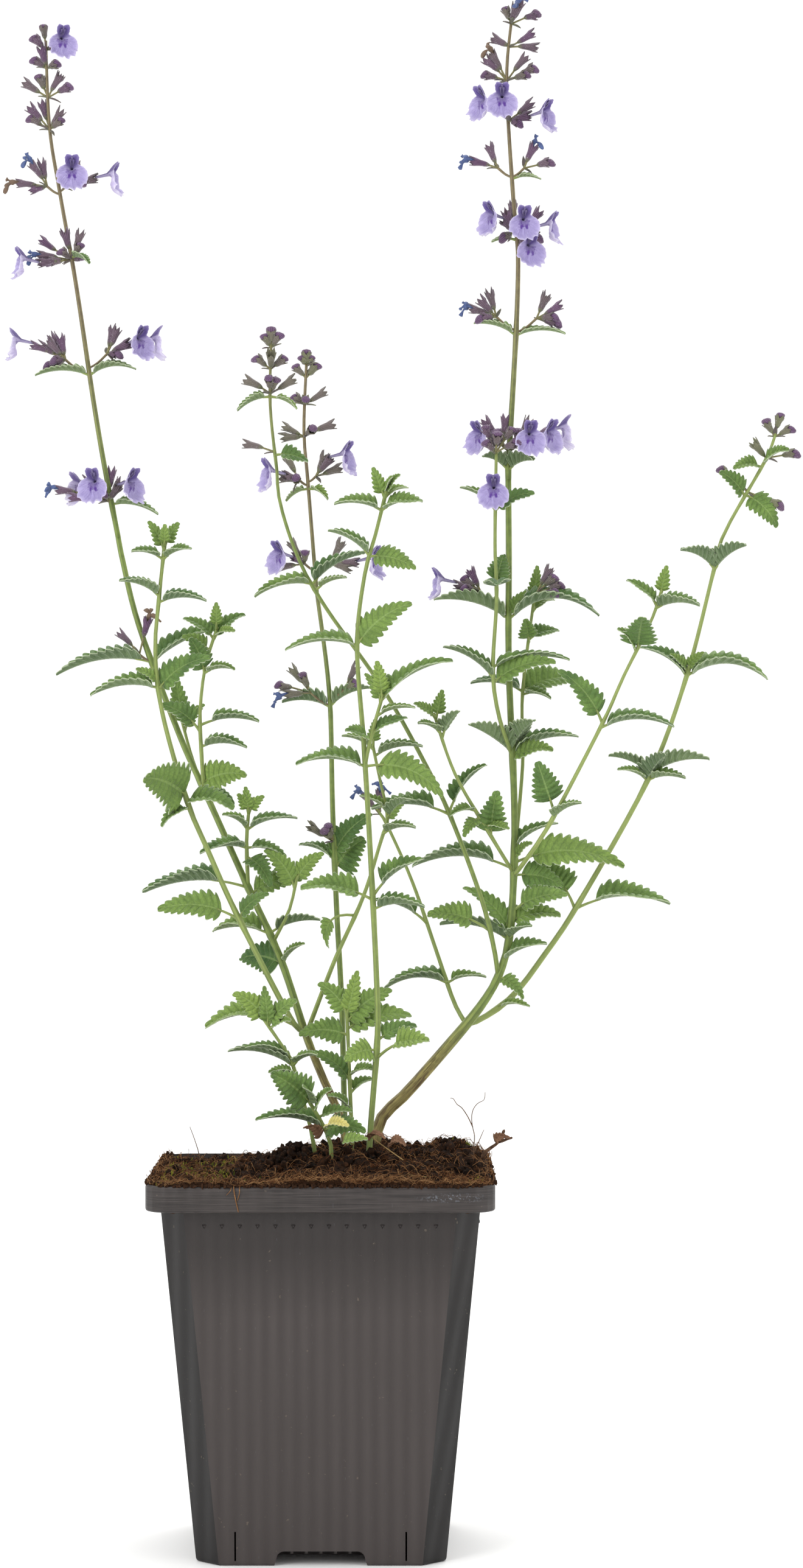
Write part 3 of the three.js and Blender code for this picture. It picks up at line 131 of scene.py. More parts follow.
STEMS = [
  { "name": "left", "lean": 0.06, "spike_from": 327,
    "thick": [[116, 2.9], [166, 2.6], [213, 2.2], [370, 1.7], [489, 1.0]],
    "path": [[8, 0, 117], [6.5, 0, 135], [-1, 0, 153], [-6, 1, 166], [-14, 5, 190],
      [-24.5, 7, 213], [-38, 8, 243], [-47, 8, 263], [-60, 8, 298], [-65.5, 8, 320],
      [-71.3, 8, 350], [-75, 8, 372], [-80.7, 8, 410], [-86, 8, 440], [-89.3, 8, 461],
      [-90.5, 8, 489]],
    "leaves": [[166, -38.5, 4, 167, 12, 40, 0.42, 0.16], [188, -27, 6, 190, 9, 75],
      [198, -36, 8, 199, 10, 30, 0.2], [198, -1, 5, 202.5, 8, 35, 0.2],
      [213, -59, 11, 211, 11, 25, 0.33], [211, -7, 6, 216, 9, 50],
      [247, -25, 6, 250, 9, 60], [286.5, -87, 8, 282.5, 11, 25, 0.16],
      [286.5, -30, 14, 298, 10, 35, 0.12, 0.08], [338, -54, 6, 334.5, 7, 40],
      [380, -94, 8, 380, 7, 25], [380, -61, 8, 382, 7, 30, 0.1, 0.14]],
    "whorls": [
      [[-60, 7, 289], [[-66.5, 6, 297, 0], [-57, 5, 301, 2]], []],
      [[-70, 7.5, 339], [[-79, 6, 346, 0], [-69, 10, 349.5, 0], [-87, 9, 343.5, 2]],
        [[-75, -1, 345.5, -15], [-62.5, 3, 345.5, 55], [-80.5, 15, 344.5, -110]]],
      [[-84, 8, 385], [[-93, 8, 390, 0], [-88.5, 10, 393.5, 0], [-91.5, 9, 383, 1]],
        [[-100.5, 7, 391.5, -85]]],
      [[-70.5, 8, 387], [[-68.5, 9, 395.5, 0], [-65, 6, 387, 1]],
        [[-59.5, 3, 392, 45], [-54.5, 10, 392, 100]]],
      [[-82, 8, 417.5], [[-84.5, 7, 427.5, 0], [-79, 8, 427, 0], [-92.5, 10, 424, 0],
        [-91.5, 8, 417, 1]], [[-98.5, 5, 418, -75]]],
      [[-90, 8, 441.5], [[-95, 7, 449.5, 2], [-100, 8, 443, 2]], []],
      [[-84.5, 8, 441], [[-80.5, 10, 450, 0]], [[-82, -2, 447.5, 5], [-68.5, 7, 445.5, 85]]],
      [460, [[-97.5, 8, 465, 1], [-92, 10, 469, 0], [-84, 7, 465, 1]], []],
      [470.5, [[-98, 8, 475.5, 0], [-81, 8, 475.5, 1]], []],
      [480, [[-96, 8, 484, 1], [-85, 8, 483, 1]], []],
      [486, [[-96, 8, 491.5, 1], [-91.5, 8, 496, 1]], [[-85, 2, 490, 20]]]],
    "shoots": [
      { "thick": [[213, 1.4], [238, 1.0]],
        "path": [[-24.5, 7, 213], [-25, 4, 228], [-24.3, 4, 238]],
        "leaves": [[226, -40, 1, 224, 9, 45], [232, -33, 2, 237, 6, 50],
          [232, -8.5, 2, 235.5, 7, 45],
          [223, -17, -2, 213.5, 8, 60]] },
      { "thick": [[196, 1.3], [217, 0.9]],
        "path": [[-16, 5.5, 196], [-11, 2, 206], [-8.5, 2, 217]],
        "leaves": [[215, 0, 1, 224.5, 5, 60]] },
      { "thick": [[245, 1.4], [297, 0.9]],
        "path": [[-39, 8, 245.5], [-39.8, 3, 258], [-40.2, 3, 270], [-38.5, 2, 285],
          [-34.5, 2, 298]],
        "leaves": [[259, -25, 2, 258.5, 8, 40], [263.5, -52.5, 1, 273, 7, 45, 0.3],
          [266, -21, 1, 267, 8, 40, 0.25], [283, -29, -2, 284, 6, 50],
          [294, -45.5, 2, 301, 6, 50],
          [294, -25.5, 2, 302, 7, 40]] },
      { "thick": [[247, 1.2], [267, 0.9]],
        "path": [[-40, 9, 247.5], [-43, 13, 256], [-46, 14, 267]],
        "leaves": [[266, -48, 14, 282, 6, 85, 0.1, 0.05]] }] },

  { "name": "left_front", "lean": -0.1, "on": "left", "thick": [[166, 1.9], [226, 1.7], [325, 1.1]],
    "path": [[-6, 1, 166], [-8, -2, 167], [-11, -5, 171], [-20, -8, 188], [-30, -10, 208],
      [-38, -10, 226], [-44.5, -10, 241.5], [-52.5, -10, 270], [-54.8, -10, 290],
      [-53.6, -10, 307], [-51.7, -10, 325]],
    "leaves": [[202.5, -54, -12, 205.5, 11, 40, 0.28, 0.12],
      [243, -58, -14, 249.5, 13, 75, 0.08, 0.06],
      [241.5, -29, -13, 239, 9, 30], [239, -53, -12, 233, 7, 50],
      [278, -76, -11, 276, 9, 25, 0.15], [278, -37, -12, 288.5, 9, 40],
      [308, -66.5, -11, 313, 8, 35], [306, -38, -11, 306.5, 8, 35],
      [320, -62.5, -11, 322.5, 6, 40], [320, -43, -11, 323.5, 6, 40],
      [323, -57, -10, 332.5, 5, 70, 0.1, 0.05], [324, -47, -10, 332, 5, 70, 0.1, 0.05]] },

  { "name": "inner", "lean": -0.12, "on": "left", "thick": [[165, 1.6], [210, 1.3], [262, 0.9]],
    "path": [[-5.6, 0.8, 165], [-3, 0, 172], [4, -2, 190], [13, -3, 210], [19, -3, 229],
      [21, -4, 236], [18.5, -5, 248], [16, -5, 260]],
    "leaves": [[204, 1, -5, 194, 6, 60, 0.5, 0.35], [230.5, 30, -5, 232.5, 7, 35],
      [236, 28.5, -6, 242, 7, 45], [256, 32.5, -7, 259, 7, 35]] },

  { "name": "back", "lean": 0.06, "spike_from": 309,
    "thick": [[118, 2.0], [230, 1.8], [383, 1.0]],
    "path": [[7.5, 12, 118], [7, 12, 135], [6, 14, 175], [4.3, 14, 207], [3, 14, 240],
      [2, 14, 276], [-2.2, 14, 310], [-5, 14, 345], [-6.3, 14, 362], [-5.5, 14, 384]],
    "leaves": [[219, 14, 17, 228.5, 7, 40], [224, 16, 14, 237, 7, 45],
      [222, -8, 18, 227, 7, 40], [272, -13.5, 16, 273.5, 8, 35],
      [272, 15, 16, 278, 7, 30]],
    "whorls": [
      [228, [[-0.5, 7, 233, 1]], []],
      [[-4, 13.5, 276.5], [[-11, 13, 285, 0], [-16.5, 14, 280, 1]], []],
      [[7, 14, 278], [[11, 14, 286, 0]], []],
      [[-6, 13.5, 318.5], [[-11, 15, 326, 0]], [[-14.5, 8, 322, -50]]],
      [[2, 14, 318.5], [[6.5, 15, 326, 0]], [[16.5, 11, 320.5, 70]]],
      [[-8, 13.5, 346], [[-12, 15, 354, 0]], [[-18, 9, 349, -70]]],
      [[-2.5, 13.5, 347], [[6, 15, 350, 0]], [[7.5, 10, 354.5, 70]]],
      [360, [[-13.5, 14, 363.5, 0], [3.5, 14, 365, 0], [-2.5, 7, 364, 1]], []],
      [370.5, [[-11.5, 14, 374.5, 1], [1, 14, 375, 0]], []],
      [379, [[-10.5, 13, 385, 1], [-0.5, 14, 385, 1]], []],
      [383, [[-5.5, 13, 390, 1]], []]] },

  { "name": "front", "lean": -0.07, "thick": [[118, 2.0], [250, 1.7], [342, 1.1]],
    "path": [[14.5, -12, 118], [15.5, -12, 136], [17.7, -12, 165], [17.3, -12, 185],
      [15.3, -12, 225], [13.2, -12, 260], [11, -12, 292], [13.5, -12, 315],
      [17, -12, 328], [20.5, -12, 342]],
    "leaves": [[157, 34.5, -16, 163, 11, 45, 0.45, 0.12],
      [160, 7, -16, 156.5, 7, 60], [163, 30.5, -9, 168, 7, 40, 0.2],
      [209, -7.5, -14, 212.5, 9, 35, 0.25], [210, 32.5, -13, 222, 9, 40, 0.3],
      [206, 33, -15, 206.5, 9, 35, 0.15], [252.5, -9, -13, 253.5, 9, 35, 0.12],
      [252.5, 39.5, -16, 244, 10, 50, 0.2, 0.14], [292, -12.5, -13, 290.5, 9, 35],
      [292, 29, -14, 305.5, 9, 55, 0.12], [321, 1.5, -13, 329.5, 8, 40],
      [321, 30, -14, 316.5, 8, 45], [336, 3.5, -13, 338, 8, 38],
      [336, 32.5, -13, 339, 8, 35], [340, 16, -12, 350, 5, 80, 0.1, 0.05]],
    "shoots": [
      { "thick": [[252, 1.3], [276, 0.9]],
        "path": [[13.6, -12, 252.5], [15.5, -13.5, 262], [19.5, -14, 276]],
        "leaves": [[261, 7, -15, 264.5, 6, 45], [263, 27.5, -15, 268, 6, 40],
          [274, 42, -13, 287.5, 9, 40],
          [275, 18, -14, 287, 5, 85, 0.1, 0]] }] },

  { "name": "back_left", "lean": 0.1, "on": "right", "thick": [[169, 1.5], [247, 0.9]],
    "path": [[46.3, 4, 169], [42.5, 11, 176], [37, 16, 192], [29, 19, 215], [20.5, 20, 234],
      [17, 20, 239]],
    "leaves": [[182, 20, 16, 180, 10, 30, 0.1, 0.14], [182, 53, 15, 184, 6, 45],
      [201.5, 17, 21, 209, 8, 40, 0.3]],
    "whorls": [[237, [[12.5, 19, 244, 2], [18.5, 20, 245, 2]], []]] },

  { "name": "right", "lean": 0.03, "spike_from": 346,
    "thick": [[118, 4.2], [165, 3.6], [186, 2.4], [350, 2.0], [495, 1.0]],
    "path": [[16.5, 4, 118], [18, 4, 136], [28, 4, 147], [42, 3, 163], [51, 2, 174],
      [57, 2, 184], [60.5, 2, 196], [62, 2, 215], [62.3, 2, 240], [60.5, 2, 285],
      [60.5, 2, 320], [60.3, 2, 350], [62.8, 2, 393], [63.5, 2, 420], [62, 2, 437],
      [59.8, 2, 475], [61.3, 2, 495]],
    "leaves": [[196, 38, 8, 201, 9, 40], [199, 46, 7, 213.5, 7, 40],
      [202, 77.5, 5, 204, 8, 30, 0.12], [205, 79.5, -2, 211, 8, 35, 0.25],
      [189, 73, -2, 195, 8, 35], [219, 29, 7, 220, 12, 40, 0.25, 0.12],
      [221, 98, 1, 218.5, 12, 35, 0.22, 0.14], [217, 78, 7, 213, 8, 50, 0.2],
      [226, 76.5, 5, 234, 7, 40], [257, 47, -3, 266, 10, 70, 0.08, 0.05],
      [259, 69, -5, 267.5, 9, 70, 0.1, 0.05], [255, 75, -1, 258, 8, 45],
      [257, 83.5, 5, 262, 9, 35], [300.5, 36, 1, 307, 11, 35, 0.12],
      [300.5, 90, 1, 301.5, 12, 30, 0.12, 0.22],
      [349, 52, -1, 353.5, 6, 50], [349, 68.5, -1, 352.5, 6, 50],
      [393, 49, 2, 397, 6, 35], [393, 79, 2, 393.5, 6, 35]],
    "whorls": [
      [[51.5, 3, 309], [[48, 4, 317, 0]], [[37.5, 2, 313.5, -80]]],
      [[69.5, 2, 309], [[74, 3, 317.5, 0], [79.5, 3, 312.5, 1]], []],
      [[58.5, 1, 357], [[52.5, 2, 366, 0], [59.5, 3, 366.5, 0]], [[50.5, -3, 361, -50]]],
      [[63, 1, 357], [[67, 4, 366, 0]],
        [[67.5, -8, 361, 12], [74, -3, 361.5, 50], [78.5, 7, 363, 100]]],
      [[56.5, 2, 399], [[54, 3, 407.5, 0], [49, 1, 398.5, 1]], []],
      [[69.5, 2, 398.5], [[73, 3, 406.5, 0], [78, 1.5, 403, 0], [78, 3, 397, 1]], []],
      [[62, 1.5, 426.5], [[61.8, 4, 436.5, 0]], [[65.5, -10.5, 431, 8], [54.5, -3, 432.5, -55]]],
      [[65, 1.5, 426], [[70.5, 4, 434, 0]], [[74.5, 0, 429.5, 75], [67.5, -7, 422.5, 25]]],
      [[57, 2, 447.5], [[53.5, 3, 455, 0], [48, 2, 450.5, 2]], []],
      [[65.5, 2, 447.5], [[68.5, 3, 455.5, 2], [76, 2, 450, 1]], []],
      [[60.5, 1.5, 463], [], [[58.3, -9, 471, -3], [51.5, -3, 470, -55], [72.5, -2, 466, 60]]],
      [476, [[50.5, 2, 479, 1], [55, 1, 485.5, 2], [66, 2, 484.5, 0], [71, 2, 481, 1]], []],
      [487, [[69, 2, 491.5, 0]], []],
      [494.5, [[58.5, 2, 502, 1], [65, 2, 502, 0], [71.5, 2, 499, 1]], []]],
    "shoots": [
      { "thick": [[256, 1.4], [357, 1.0]],
        "path": [[61.4, 2, 256.5], [57.5, -4, 268], [55.3, -6, 283], [56.5, -6, 307],
          [56, -6, 325], [56.4, -6, 355]],
        "leaves": [[281, 39, -8, 291.5, 8, 40], [280, 75.5, -8, 287.5, 8, 40, 0.12],
          [285, 80.5, -4, 287, 7, 35], [312, 59, -4, 321.5, 6, 75, 0.1, 0.05],
          [311, 57.5, -14, 312, 8, 45], [336, 44.5, -7, 343.5, 6, 45],
          [336, 69, -8, 341.5, 6, 40]],
        "whorls": [[340, [], [[55.5, -16, 343.5, -5]]], [354, [[56.5, -6, 363, 1]], []]] },
      { "thick": [[222, 1.3], [311, 0.9]],
        "path": [[62.2, 2.5, 222], [65, 8, 253], [65, 8, 277], [69, 8, 309]],
        "leaves": [[277, 48, 9, 279.5, 9, 30, 0.12], [277, 83.5, 9, 280.5, 11, 35],
          [293, 66, 3, 300.5, 6, 60, 0.1, 0.05], [294, 77, 8, 296.5, 6, 45],
          [306, 70, 8, 318, 5, 80, 0.1, 0.05]] },
      { "thick": [[218, 1.3], [270, 0.9]],
        "path": [[61.9, 1.5, 218], [54, -7, 231], [43, -13, 250], [36, -14, 270]],
        "leaves": [[230, 56, -12, 244.5, 9, 75, 0.1, 0.05],
          [238, 41, -14, 236.5, 6, 50], [262, 44.5, -15, 270.5, 6, 50],
          [268, 39, -14, 277.5, 5, 70, 0.1, 0]] }] },

  { "name": "middle", "lean": -0.06, "on": "right", "thick": [[184, 1.6], [270, 1.4], [392, 0.9]],
    "spike_from": 349,
    "path": [[57, 2, 184], [55.7, -1, 193], [52, -3, 208], [44, -1, 230], [36, 0, 248],
      [20, 0, 277], [1, 0, 304], [-8, 0, 320], [-14, 0, 338], [-17.3, 0, 370], [-17, 0, 390]],
    "leaves": [[199, 34, -4, 204.5, 9, 35, 0.35], [237, 16, 3, 239, 8, 30, 0.25],
      [237, 53.5, 6, 253, 8, 40, 0.25], [312, -22.5, -2, 308, 8, 35],
      [312, 14, 2, 322, 9, 30], [373, -28, 0, 368.5, 6, 40]],
    "whorls": [
      [355, [[-26, 0, 358.5, 0]], []],
      [374, [[-25.5, 0, 379.5, 0], [-9, 0, 379, 0], [-18, -6, 381, 1]], []],
      [382, [[-24, 0, 387, 1], [-11, 0, 387.5, 1]], []],
      [389, [[-20.5, 0, 395, 1], [-13, 0, 395, 1], [-17, -0.5, 397.5, 1]], []]] },

  { "name": "thin_right", "lean": -0.12, "on": "right", "thick": [[217, 1.5], [310, 0.9]],
    "path": [[62.1, 2, 217], [66, -3, 222], [74.5, -8, 235], [91, -8, 266.5], [98, -8, 282],
      [106.5, -8, 299], [110.5, -8, 310]],
    "leaves": [[237, 69.5, -9, 254, 9, 75, 0.3, 0.05], [235, 84, -10, 240.5, 7, 45],
      [266.5, 77.5, -9, 284.5, 9, 65, 0.2, 0.08], [265, 114.5, -9, 265.5, 10, 35, 0.15, 0.12],
      [291, 104, -14, 301, 9, 70, 0.1, 0.05], [305, 99, -9, 313.5, 6, 55],
      [304, 123, -9, 305, 9, 35], [308, 112, -8, 318, 5, 80, 0.1, 0]] },

  { "name": "far_right", "lean": 0.08, "on": "right", "thick": [[168, 2.0], [250, 1.6], [361, 1.0]],
    "path": [[46.8, 3, 168.5], [52, 6, 170.5], [62, 9, 178], [72, 9, 191], [83, 8, 207.5],
      [106, 6, 248.5], [118.5, 6, 282], [127.5, 6, 317], [131, 6, 329], [144, 6, 352],
      [147.5, 6, 361]],
    "leaves": [[206, 69.5, 12, 221.5, 9, 60, 0.35], [206, 113, 6, 207, 11, 30, 0.27, 0.12],
      [250, 93, 8, 256, 8, 40], [247, 112, -1, 256.5, 8, 55, 0.1, 0.08],
      [250, 126, 5, 255, 10, 35, 0.12], [282, 103.5, 6, 291.5, 9, 40, 0.12],
      [282, 145, 6, 281, 11, 30, 0.12, 0.18],
      [317, 116.5, 5, 323, 8, 40], [316, 138, 3, 324.5, 8, 50],
      [341, 148, 5, 330.5, 7, 45], [350, 133.5, 5, 350, 6, 40]],
    "whorls": [
      [342, [[128, 6, 351, 1], [151, 6, 337, 1]], []],
      [353, [[156, 6, 355, 1]], []],
      [360, [[143.5, 6, 367, 1], [149.5, 6, 369, 1], [154.5, 6, 363.5, 1]], []]] },

  { "name": "short_left", "lean": -0.2, "thick": [[120, 1.5], [171, 1.0]],
    "path": [[-2, -6, 120], [-4, -6, 134], [-9, -8, 152], [-10.5, -8, 157], [-20, -9, 171]],
    "leaves": [[151, -18, -11, 153, 6, 50], [157, -25.5, -11, 161, 7, 45],
      [155, -31, -5, 160, 8, 30], [168, -19, -9, 181, 5, 80, 0.1, 0.05],
      [170, -29, -10, 179, 6, 50], [168, -8.5, -12, 176, 6, 55]] },

  { "name": "short_front", "lean": -0.3, "thick": [[120, 1.5], [144, 1.1]],
    "path": [[2.5, -15, 120], [2, -15, 131], [-5, -16, 144]],
    "leaves": [[143, -17, -17, 152.5, 10, 75, 0.1, 0.05],
      [135, -22, -19, 137, 9, 45], [134, 14, -21, 134, 9, 65, 0.1, 0.08],
      [138, 9.5, -18, 140, 6, 55]] },

  { "name": "short_inner", "lean": 0.0, "thick": [[120, 1.5], [173, 1.0]],
    "path": [[10, -5, 120], [9.3, -5, 133], [8, -6, 165], [7.5, -6, 173]],
    "leaves": [[165, -8, -7, 165, 8, 45], [172, -1.5, -7, 182, 7, 55],
      [169, 22.5, -5, 179.5, 8, 50], [167, 28.5, -2, 172, 9, 45],
      [171, 11, -7, 186, 5, 80, 0.1, 0], [150, -3.5, -10, 160, 7, 60]] },

  { "name": "dead_twig", "dead": 1, "lean": 0, "thick": [[118, 1.6], [134, 0.9]],
    "path": [[47.5, -6, 118], [52, -6, 126], [57, -7, 130], [59, -7, 134]],
    "leaves": [],
    "shoots": [{ "thick": [[130, 1.1], [131.5, 0.8]],
      "path": [[57, -7, 130], [61.5, -8, 131.5]], "leaves": [] }] },
]

# Small leaves that only the dressed plant has, by stem: the same numbers as above.
SMALL_LEAVES = {
    "left": [[188, -6, 4, 195, 6, 50], [245, -29, 13, 240, 7, 60],
        [418.5, -76.5, 6, 416.5, 5, 50]],
    "left_front": [[203, -18, -12, 211.5, 7, 60], [279, -61, -12, 284.5, 5, 60],
        [324, -51.5, -12, 331.5, 4, 85]],
    "inner": [[238, 12, -4, 243, 5, 50], [258, 6, -5, 262.5, 5, 40],
        [259, 17, -5, 268, 4.5, 85]],
    "back": [[343, -12, 15, 339, 5, 40], [343, 1.5, 13, 339.5, 5, 40]],
    "front": [[340, 27.5, -12, 343.5, 5, 50], [341, 22.5, -15, 347, 4.5, 60],
        [341, 25, -14, 347.5, 5, 60]],
    "back_left": [[234, 27, 20, 241, 5, 60]],
    "right": [[184, 65.5, -3, 177, 6, 60], [196, 68, -6, 200.5, 7, 50],
        [222, 68, -4, 228, 5, 60], [301, 66.5, -3, 309.5, 5, 60],
        [424, 55, 4, 423.5, 4.5, 40], [444, 71, 3, 444, 4.5, 40]],
    "middle": [[310, 7.5, -4, 314, 5, 40], [354, -5, 0, 352, 5, 40],
        [373, -8.5, 0, 369, 5, 40]],
    "thin_right": [[290, 96, -9, 297.5, 6, 60]],
    "far_right": [[248, 96, 3, 251.5, 6, 50], [248, 118, 2, 248.5, 7, 45],
        [283, 124, 3, 290, 5, 60], [283, 113, 4, 289, 5, 60], [351, 152, 2, 356, 7, 60],
        [174, 67.5, 3, 174.5, 5, 50], [340.5, 129, -1, 348, 7.5, 70]],
    "short_left": [[155, -2, -10, 158.5, 6, 50], [167, -10.5, -11, 170, 5, 60]],
    "short_front": [[142, -7, -20, 148.5, 6, 60], [140, 2.5, -17, 147, 6, 60]],
    "short_inner": [[140, 1.5, -8, 145.5, 6, 55], [146, 17.5, -3, 150.5, 6, 50],
        [152, 17.5, -6, 153.5, 6, 55]],
}
# The same for the shoots, by stem and the shoot's place in its list.
SHOOT_LEAVES = {
    ("left", 0): [[226, -12, 3, 223, 7, 50], [237, -28, 2, 243.5, 4.5, 80],
        [237, -19.5, 2, 243, 4.5, 80], [237, -25, 2, 246, 4.5, 80]],
    ("left", 1): [[213, -19, 1, 225.5, 8, 75]],
    ("left", 2): [[283, -44, -3, 294, 8, 75], [290, -46, -1, 295, 6, 60],
        [295, -29, -4, 296.5, 5, 60], [297, -35, 1, 306, 4.5, 85]],
    ("left", 3): [[264, -39, 13, 273, 5, 70]],
    ("front", 0): [[273, 14, -14, 283, 5, 75], [269, 30, -15, 271.5, 5, 40]],
    ("right", 1): [[276, 74, 6, 274.5, 6, 45], [303, 75, 8, 307, 5, 50]],
    ("right", 2): [[233, 60.5, -12, 232, 5, 55], [236, 46, -15, 229.5, 5, 60],
        [263, 31, -15, 266.5, 6, 50], [268, 29.5, -14, 273, 5, 60]],
}

# How some blades stand on the dressed plant: by stem, or stem and shoot, and the
# leaf's place in its list: roll, times as wide, share of fresh yellow-green. A roll
# under 0 shows the blade's underside.
TURNED = {
    "left": {0: (55, 1.1, 0.7), 1: (80, 1.3), 2: (50, 1.1, 0.5), 3: (-25, 1.2), 4: (30, 1.1),
        5: (62, 1.1, 0.5), 6: (80, 1.2, 0.7), 8: (48, 1.0),
        14: (-20, 1.1, 0.1)},
    ("left", 0): {2: (40, 1.1)},
    ("left", 1): {0: (78, 1.3, 0.7), 1: (78, 1.0, 0.6)},
    ("left", 2): {1: (62, 1.3), 4: (55, 1.1), 5: (55, 1.1), 7: (78, 1.0)},
    ("left", 3): {0: (82, 1.2)},
    "left_front": {0: (65, 1.0, 0.5), 1: (84, 1.3, 0.45), 2: (55, 1.2, 0.3),
        4: (45, 1.0, 0.2), 5: (62, 1.15), 8: (50, 1.1), 9: (50, 1.1)},
    "back": {0: (80, 1.9), 1: (65, 1.3), 3: (-35, 1.3), 4: (-35, 1.3)},
    "front": {0: (58, 1.0, 0.9), 1: (75, 1.2, 0.8), 2: (58, 1.1, 0.2), 3: (58, 1.2, 0.4),
        4: (50, 1.2, 0.2), 6: (50, 1.15, 0.3), 7: (70, 1.05, 0.55), 8: (48, 1.05, 0.4),
        9: (75, 1.1, 0.5), 11: (65, 1.1, 0.5), 12: (50, 1.1, 0.4), 13: (55, 1.1, 0.4)},
    ("front", 0): {0: (60, 1.1, 0.3), 1: (55, 1.1, 0.2), 2: (50, 1.1, 0.3),
        3: (85, 1.2, 0.9)},
    "right": {0: (-25, 1.2), 1: (62, 1.1, 0.35), 2: (60, 1.15, 0.55), 3: (62, 1.2, 0.45),
        4: (50, 1.2, 0.3), 5: (35, 1.0), 6: (64, 1.0, 0.6), 7: (70, 1.2, 0.2),
        9: (-45, 1.25), 10: (-50, 1.25), 11: (60, 1.2, 0.6), 13: (-20, 1.1),
        14: (42, 1.1), 15: (-50, 1.4), 16: (-50, 1.7)},
    ("right", 0): {1: (64, 1.1, 0.4), 3: (80, 1.3), 4: (65, 1.1), 6: (60, 1.3)},
    ("right", 1): {1: (60, 1.15, 0.4), 2: (80, 1.1), 3: (58, 1.2)},
    ("right", 2): {0: (80, 1.15), 2: (-40, 1.2)},
    "middle": {0: (62, 1.15, 0.55), 1: (50, 1.3), 3: (48, 1.05, 0.4), 6: (40, 1.0),
        7: (60, 1.5)},
    "thin_right": {0: (78, 1.15), 3: (42, 1.0), 4: (80, 1.3)},
    "far_right": {0: (72, 1.3, 0.3), 1: (52, 1.1, 0.3), 2: (-30, 1.0), 3: (-50, 1.3),
        4: (-35, 1.1), 5: (50, 1.0), 6: (42, 1.1, 0.2), 7: (-30, 1.1), 8: (-45, 1.4),
        9: (70, 1.25, 0.3), 10: (62, 1.1, 0.4)},
    "short_left": {3: (80, 1.1), 4: (75, 1.4, 0.9), 5: (62, 1.3, 0.5)},
    "short_front": {0: (80, 1.2, 0.2)},
    "short_inner": {0: (66, 1.15, 0.4), 1: (76, 1.15, 0.5), 2: (72, 1.25, 0.5),
        3: (62, 1.2, 0.6), 4: (82, 1.3, 0.9), 5: (60, 1.1)},
}
STEM_BRIGHTNESS = {"left": 0.1, "back": 0.1, "middle": 0.2, "right": 0.1, "front": 0.35,
                   "left_front": 0.45, "inner": 0.5, "far_right": 0.6, "thin_right": 0.65}
SPIKE_GREEN = {"back": 0.5, "middle": 0.5, "far_right": 0.65, "thin_right": 0.5}

# More calyces on the whorls: the fan point, then x, y, z and kind of each tip.
MORE_CALYCES = {
    "left": [
        [[-70, 7.5, 339], [[-81, 9, 344.5, 1], [-66, 10, 346, 0], [-83, 8, 340.5, 0]]],
        [[-84, 8, 385], [[-90, 7, 391.5, 0], [-86, 8, 393, 0], [-90, 6, 385, 1]]],
        [[-70.5, 8, 387], [[-66.5, 8, 395.5, 0]]],
        [[-82, 8, 417.5], [[-78, 7, 424.5, 1], [-87.5, 6, 422, 1], [-78, 9, 419.5, 1],
            [-93, 9, 419.5, 2]]],
        [[-90, 8, 441.5], [[-96, 9, 440.5, 0], [-92, 9, 450, 0]]],
        [[-84.5, 8, 441], [[-77, 7, 443.5, 1]]],
        [460, [[-96, 7, 468, 0], [-85.5, 8, 467, 0]]],
        [470.5, [[-86, 7, 478.5, 0], [-93.5, 9, 479, 1]]],
        [480, [[-92.5, 6, 487.5, 0]]]],
    "back": [
        [228, [[-5, 9, 233, 0], [1, 8, 235, 1]]],
        [[-4, 13.5, 276.5], [[-7.5, 11, 284.5, 1], [-13, 12, 276, 2]]],
        [[7, 14, 278], [[12.5, 13, 281, 1]]],
        [[-6, 13.5, 318.5], [[-15.5, 14, 317.5, 0], [-6, 11, 325, 1]]],
        [[2, 14, 318.5], [[9.5, 13, 317.5, 0]]],
        [[-8, 13.5, 346], [[-14.5, 15, 346.5, 0], [-9, 11, 347, 1]]],
        [[-2.5, 13.5, 347], [[1, 14, 354.5, 0]]],
        [360, [[-14, 13, 359.5, 0]]],
        [370.5, [[-5.5, 9.5, 374, 1]]],
        [383, [[-8, 13.5, 388, 1], [-3, 14, 388, 1]]]],
    "right": [
        [[56.2, -6.5, 354.8], [[57, -11, 363.5, 1], [64.7, -9, 359.5, 1], [52.1, -7, 365.2, 1],
            [63.1, -8, 364.5, 1], [51.5, -8, 359.8, 1]]],
        [[51.5, 3, 309], [[44.5, 5, 315.5, 1], [44, 1, 311.5, 1]]],
        [[69.5, 2, 309], [[77, 2, 316, 1], [78, 1, 309.5, 1]]],
        [[58.5, 1, 357], [[55.5, -2, 364, 1]]],
        [[63, 1, 357], [[63.5, -3, 364.5, 1]]],
        [[56.5, 2, 399], [[50.5, 2, 405, 0], [48, 4, 402.5, 2]]],
        [[69.5, 2, 398.5], [[77.5, 1, 399.5, 1]]],
        [[62, 1.5, 426.5], [[57, 3, 424.5, 1], [59.5, -2, 434, 0]]],
        [[65, 1.5, 426], [[72.5, 2, 424.5, 1]]],
        [[60.5, 1.5, 463], [[68.5, 3, 469, 0], [66, 1, 462, 1], [55.5, 4, 468.5, 0]]],
        [476, [[53, 2, 484, 0], [68.5, 0, 479, 1]]],
        [487, [[70, 3, 487.5, 0], [55, 2, 490.5, 0]]],
        [494.5, [[63, -1, 501, 2]]]],
    "middle": [[374, [[-14.5, -3, 381, 1]]], [382, [[-17, -4.5, 387.5, 0]]]],
    "far_right": [[353, [[140, 4, 358.5, 0]]]],
}
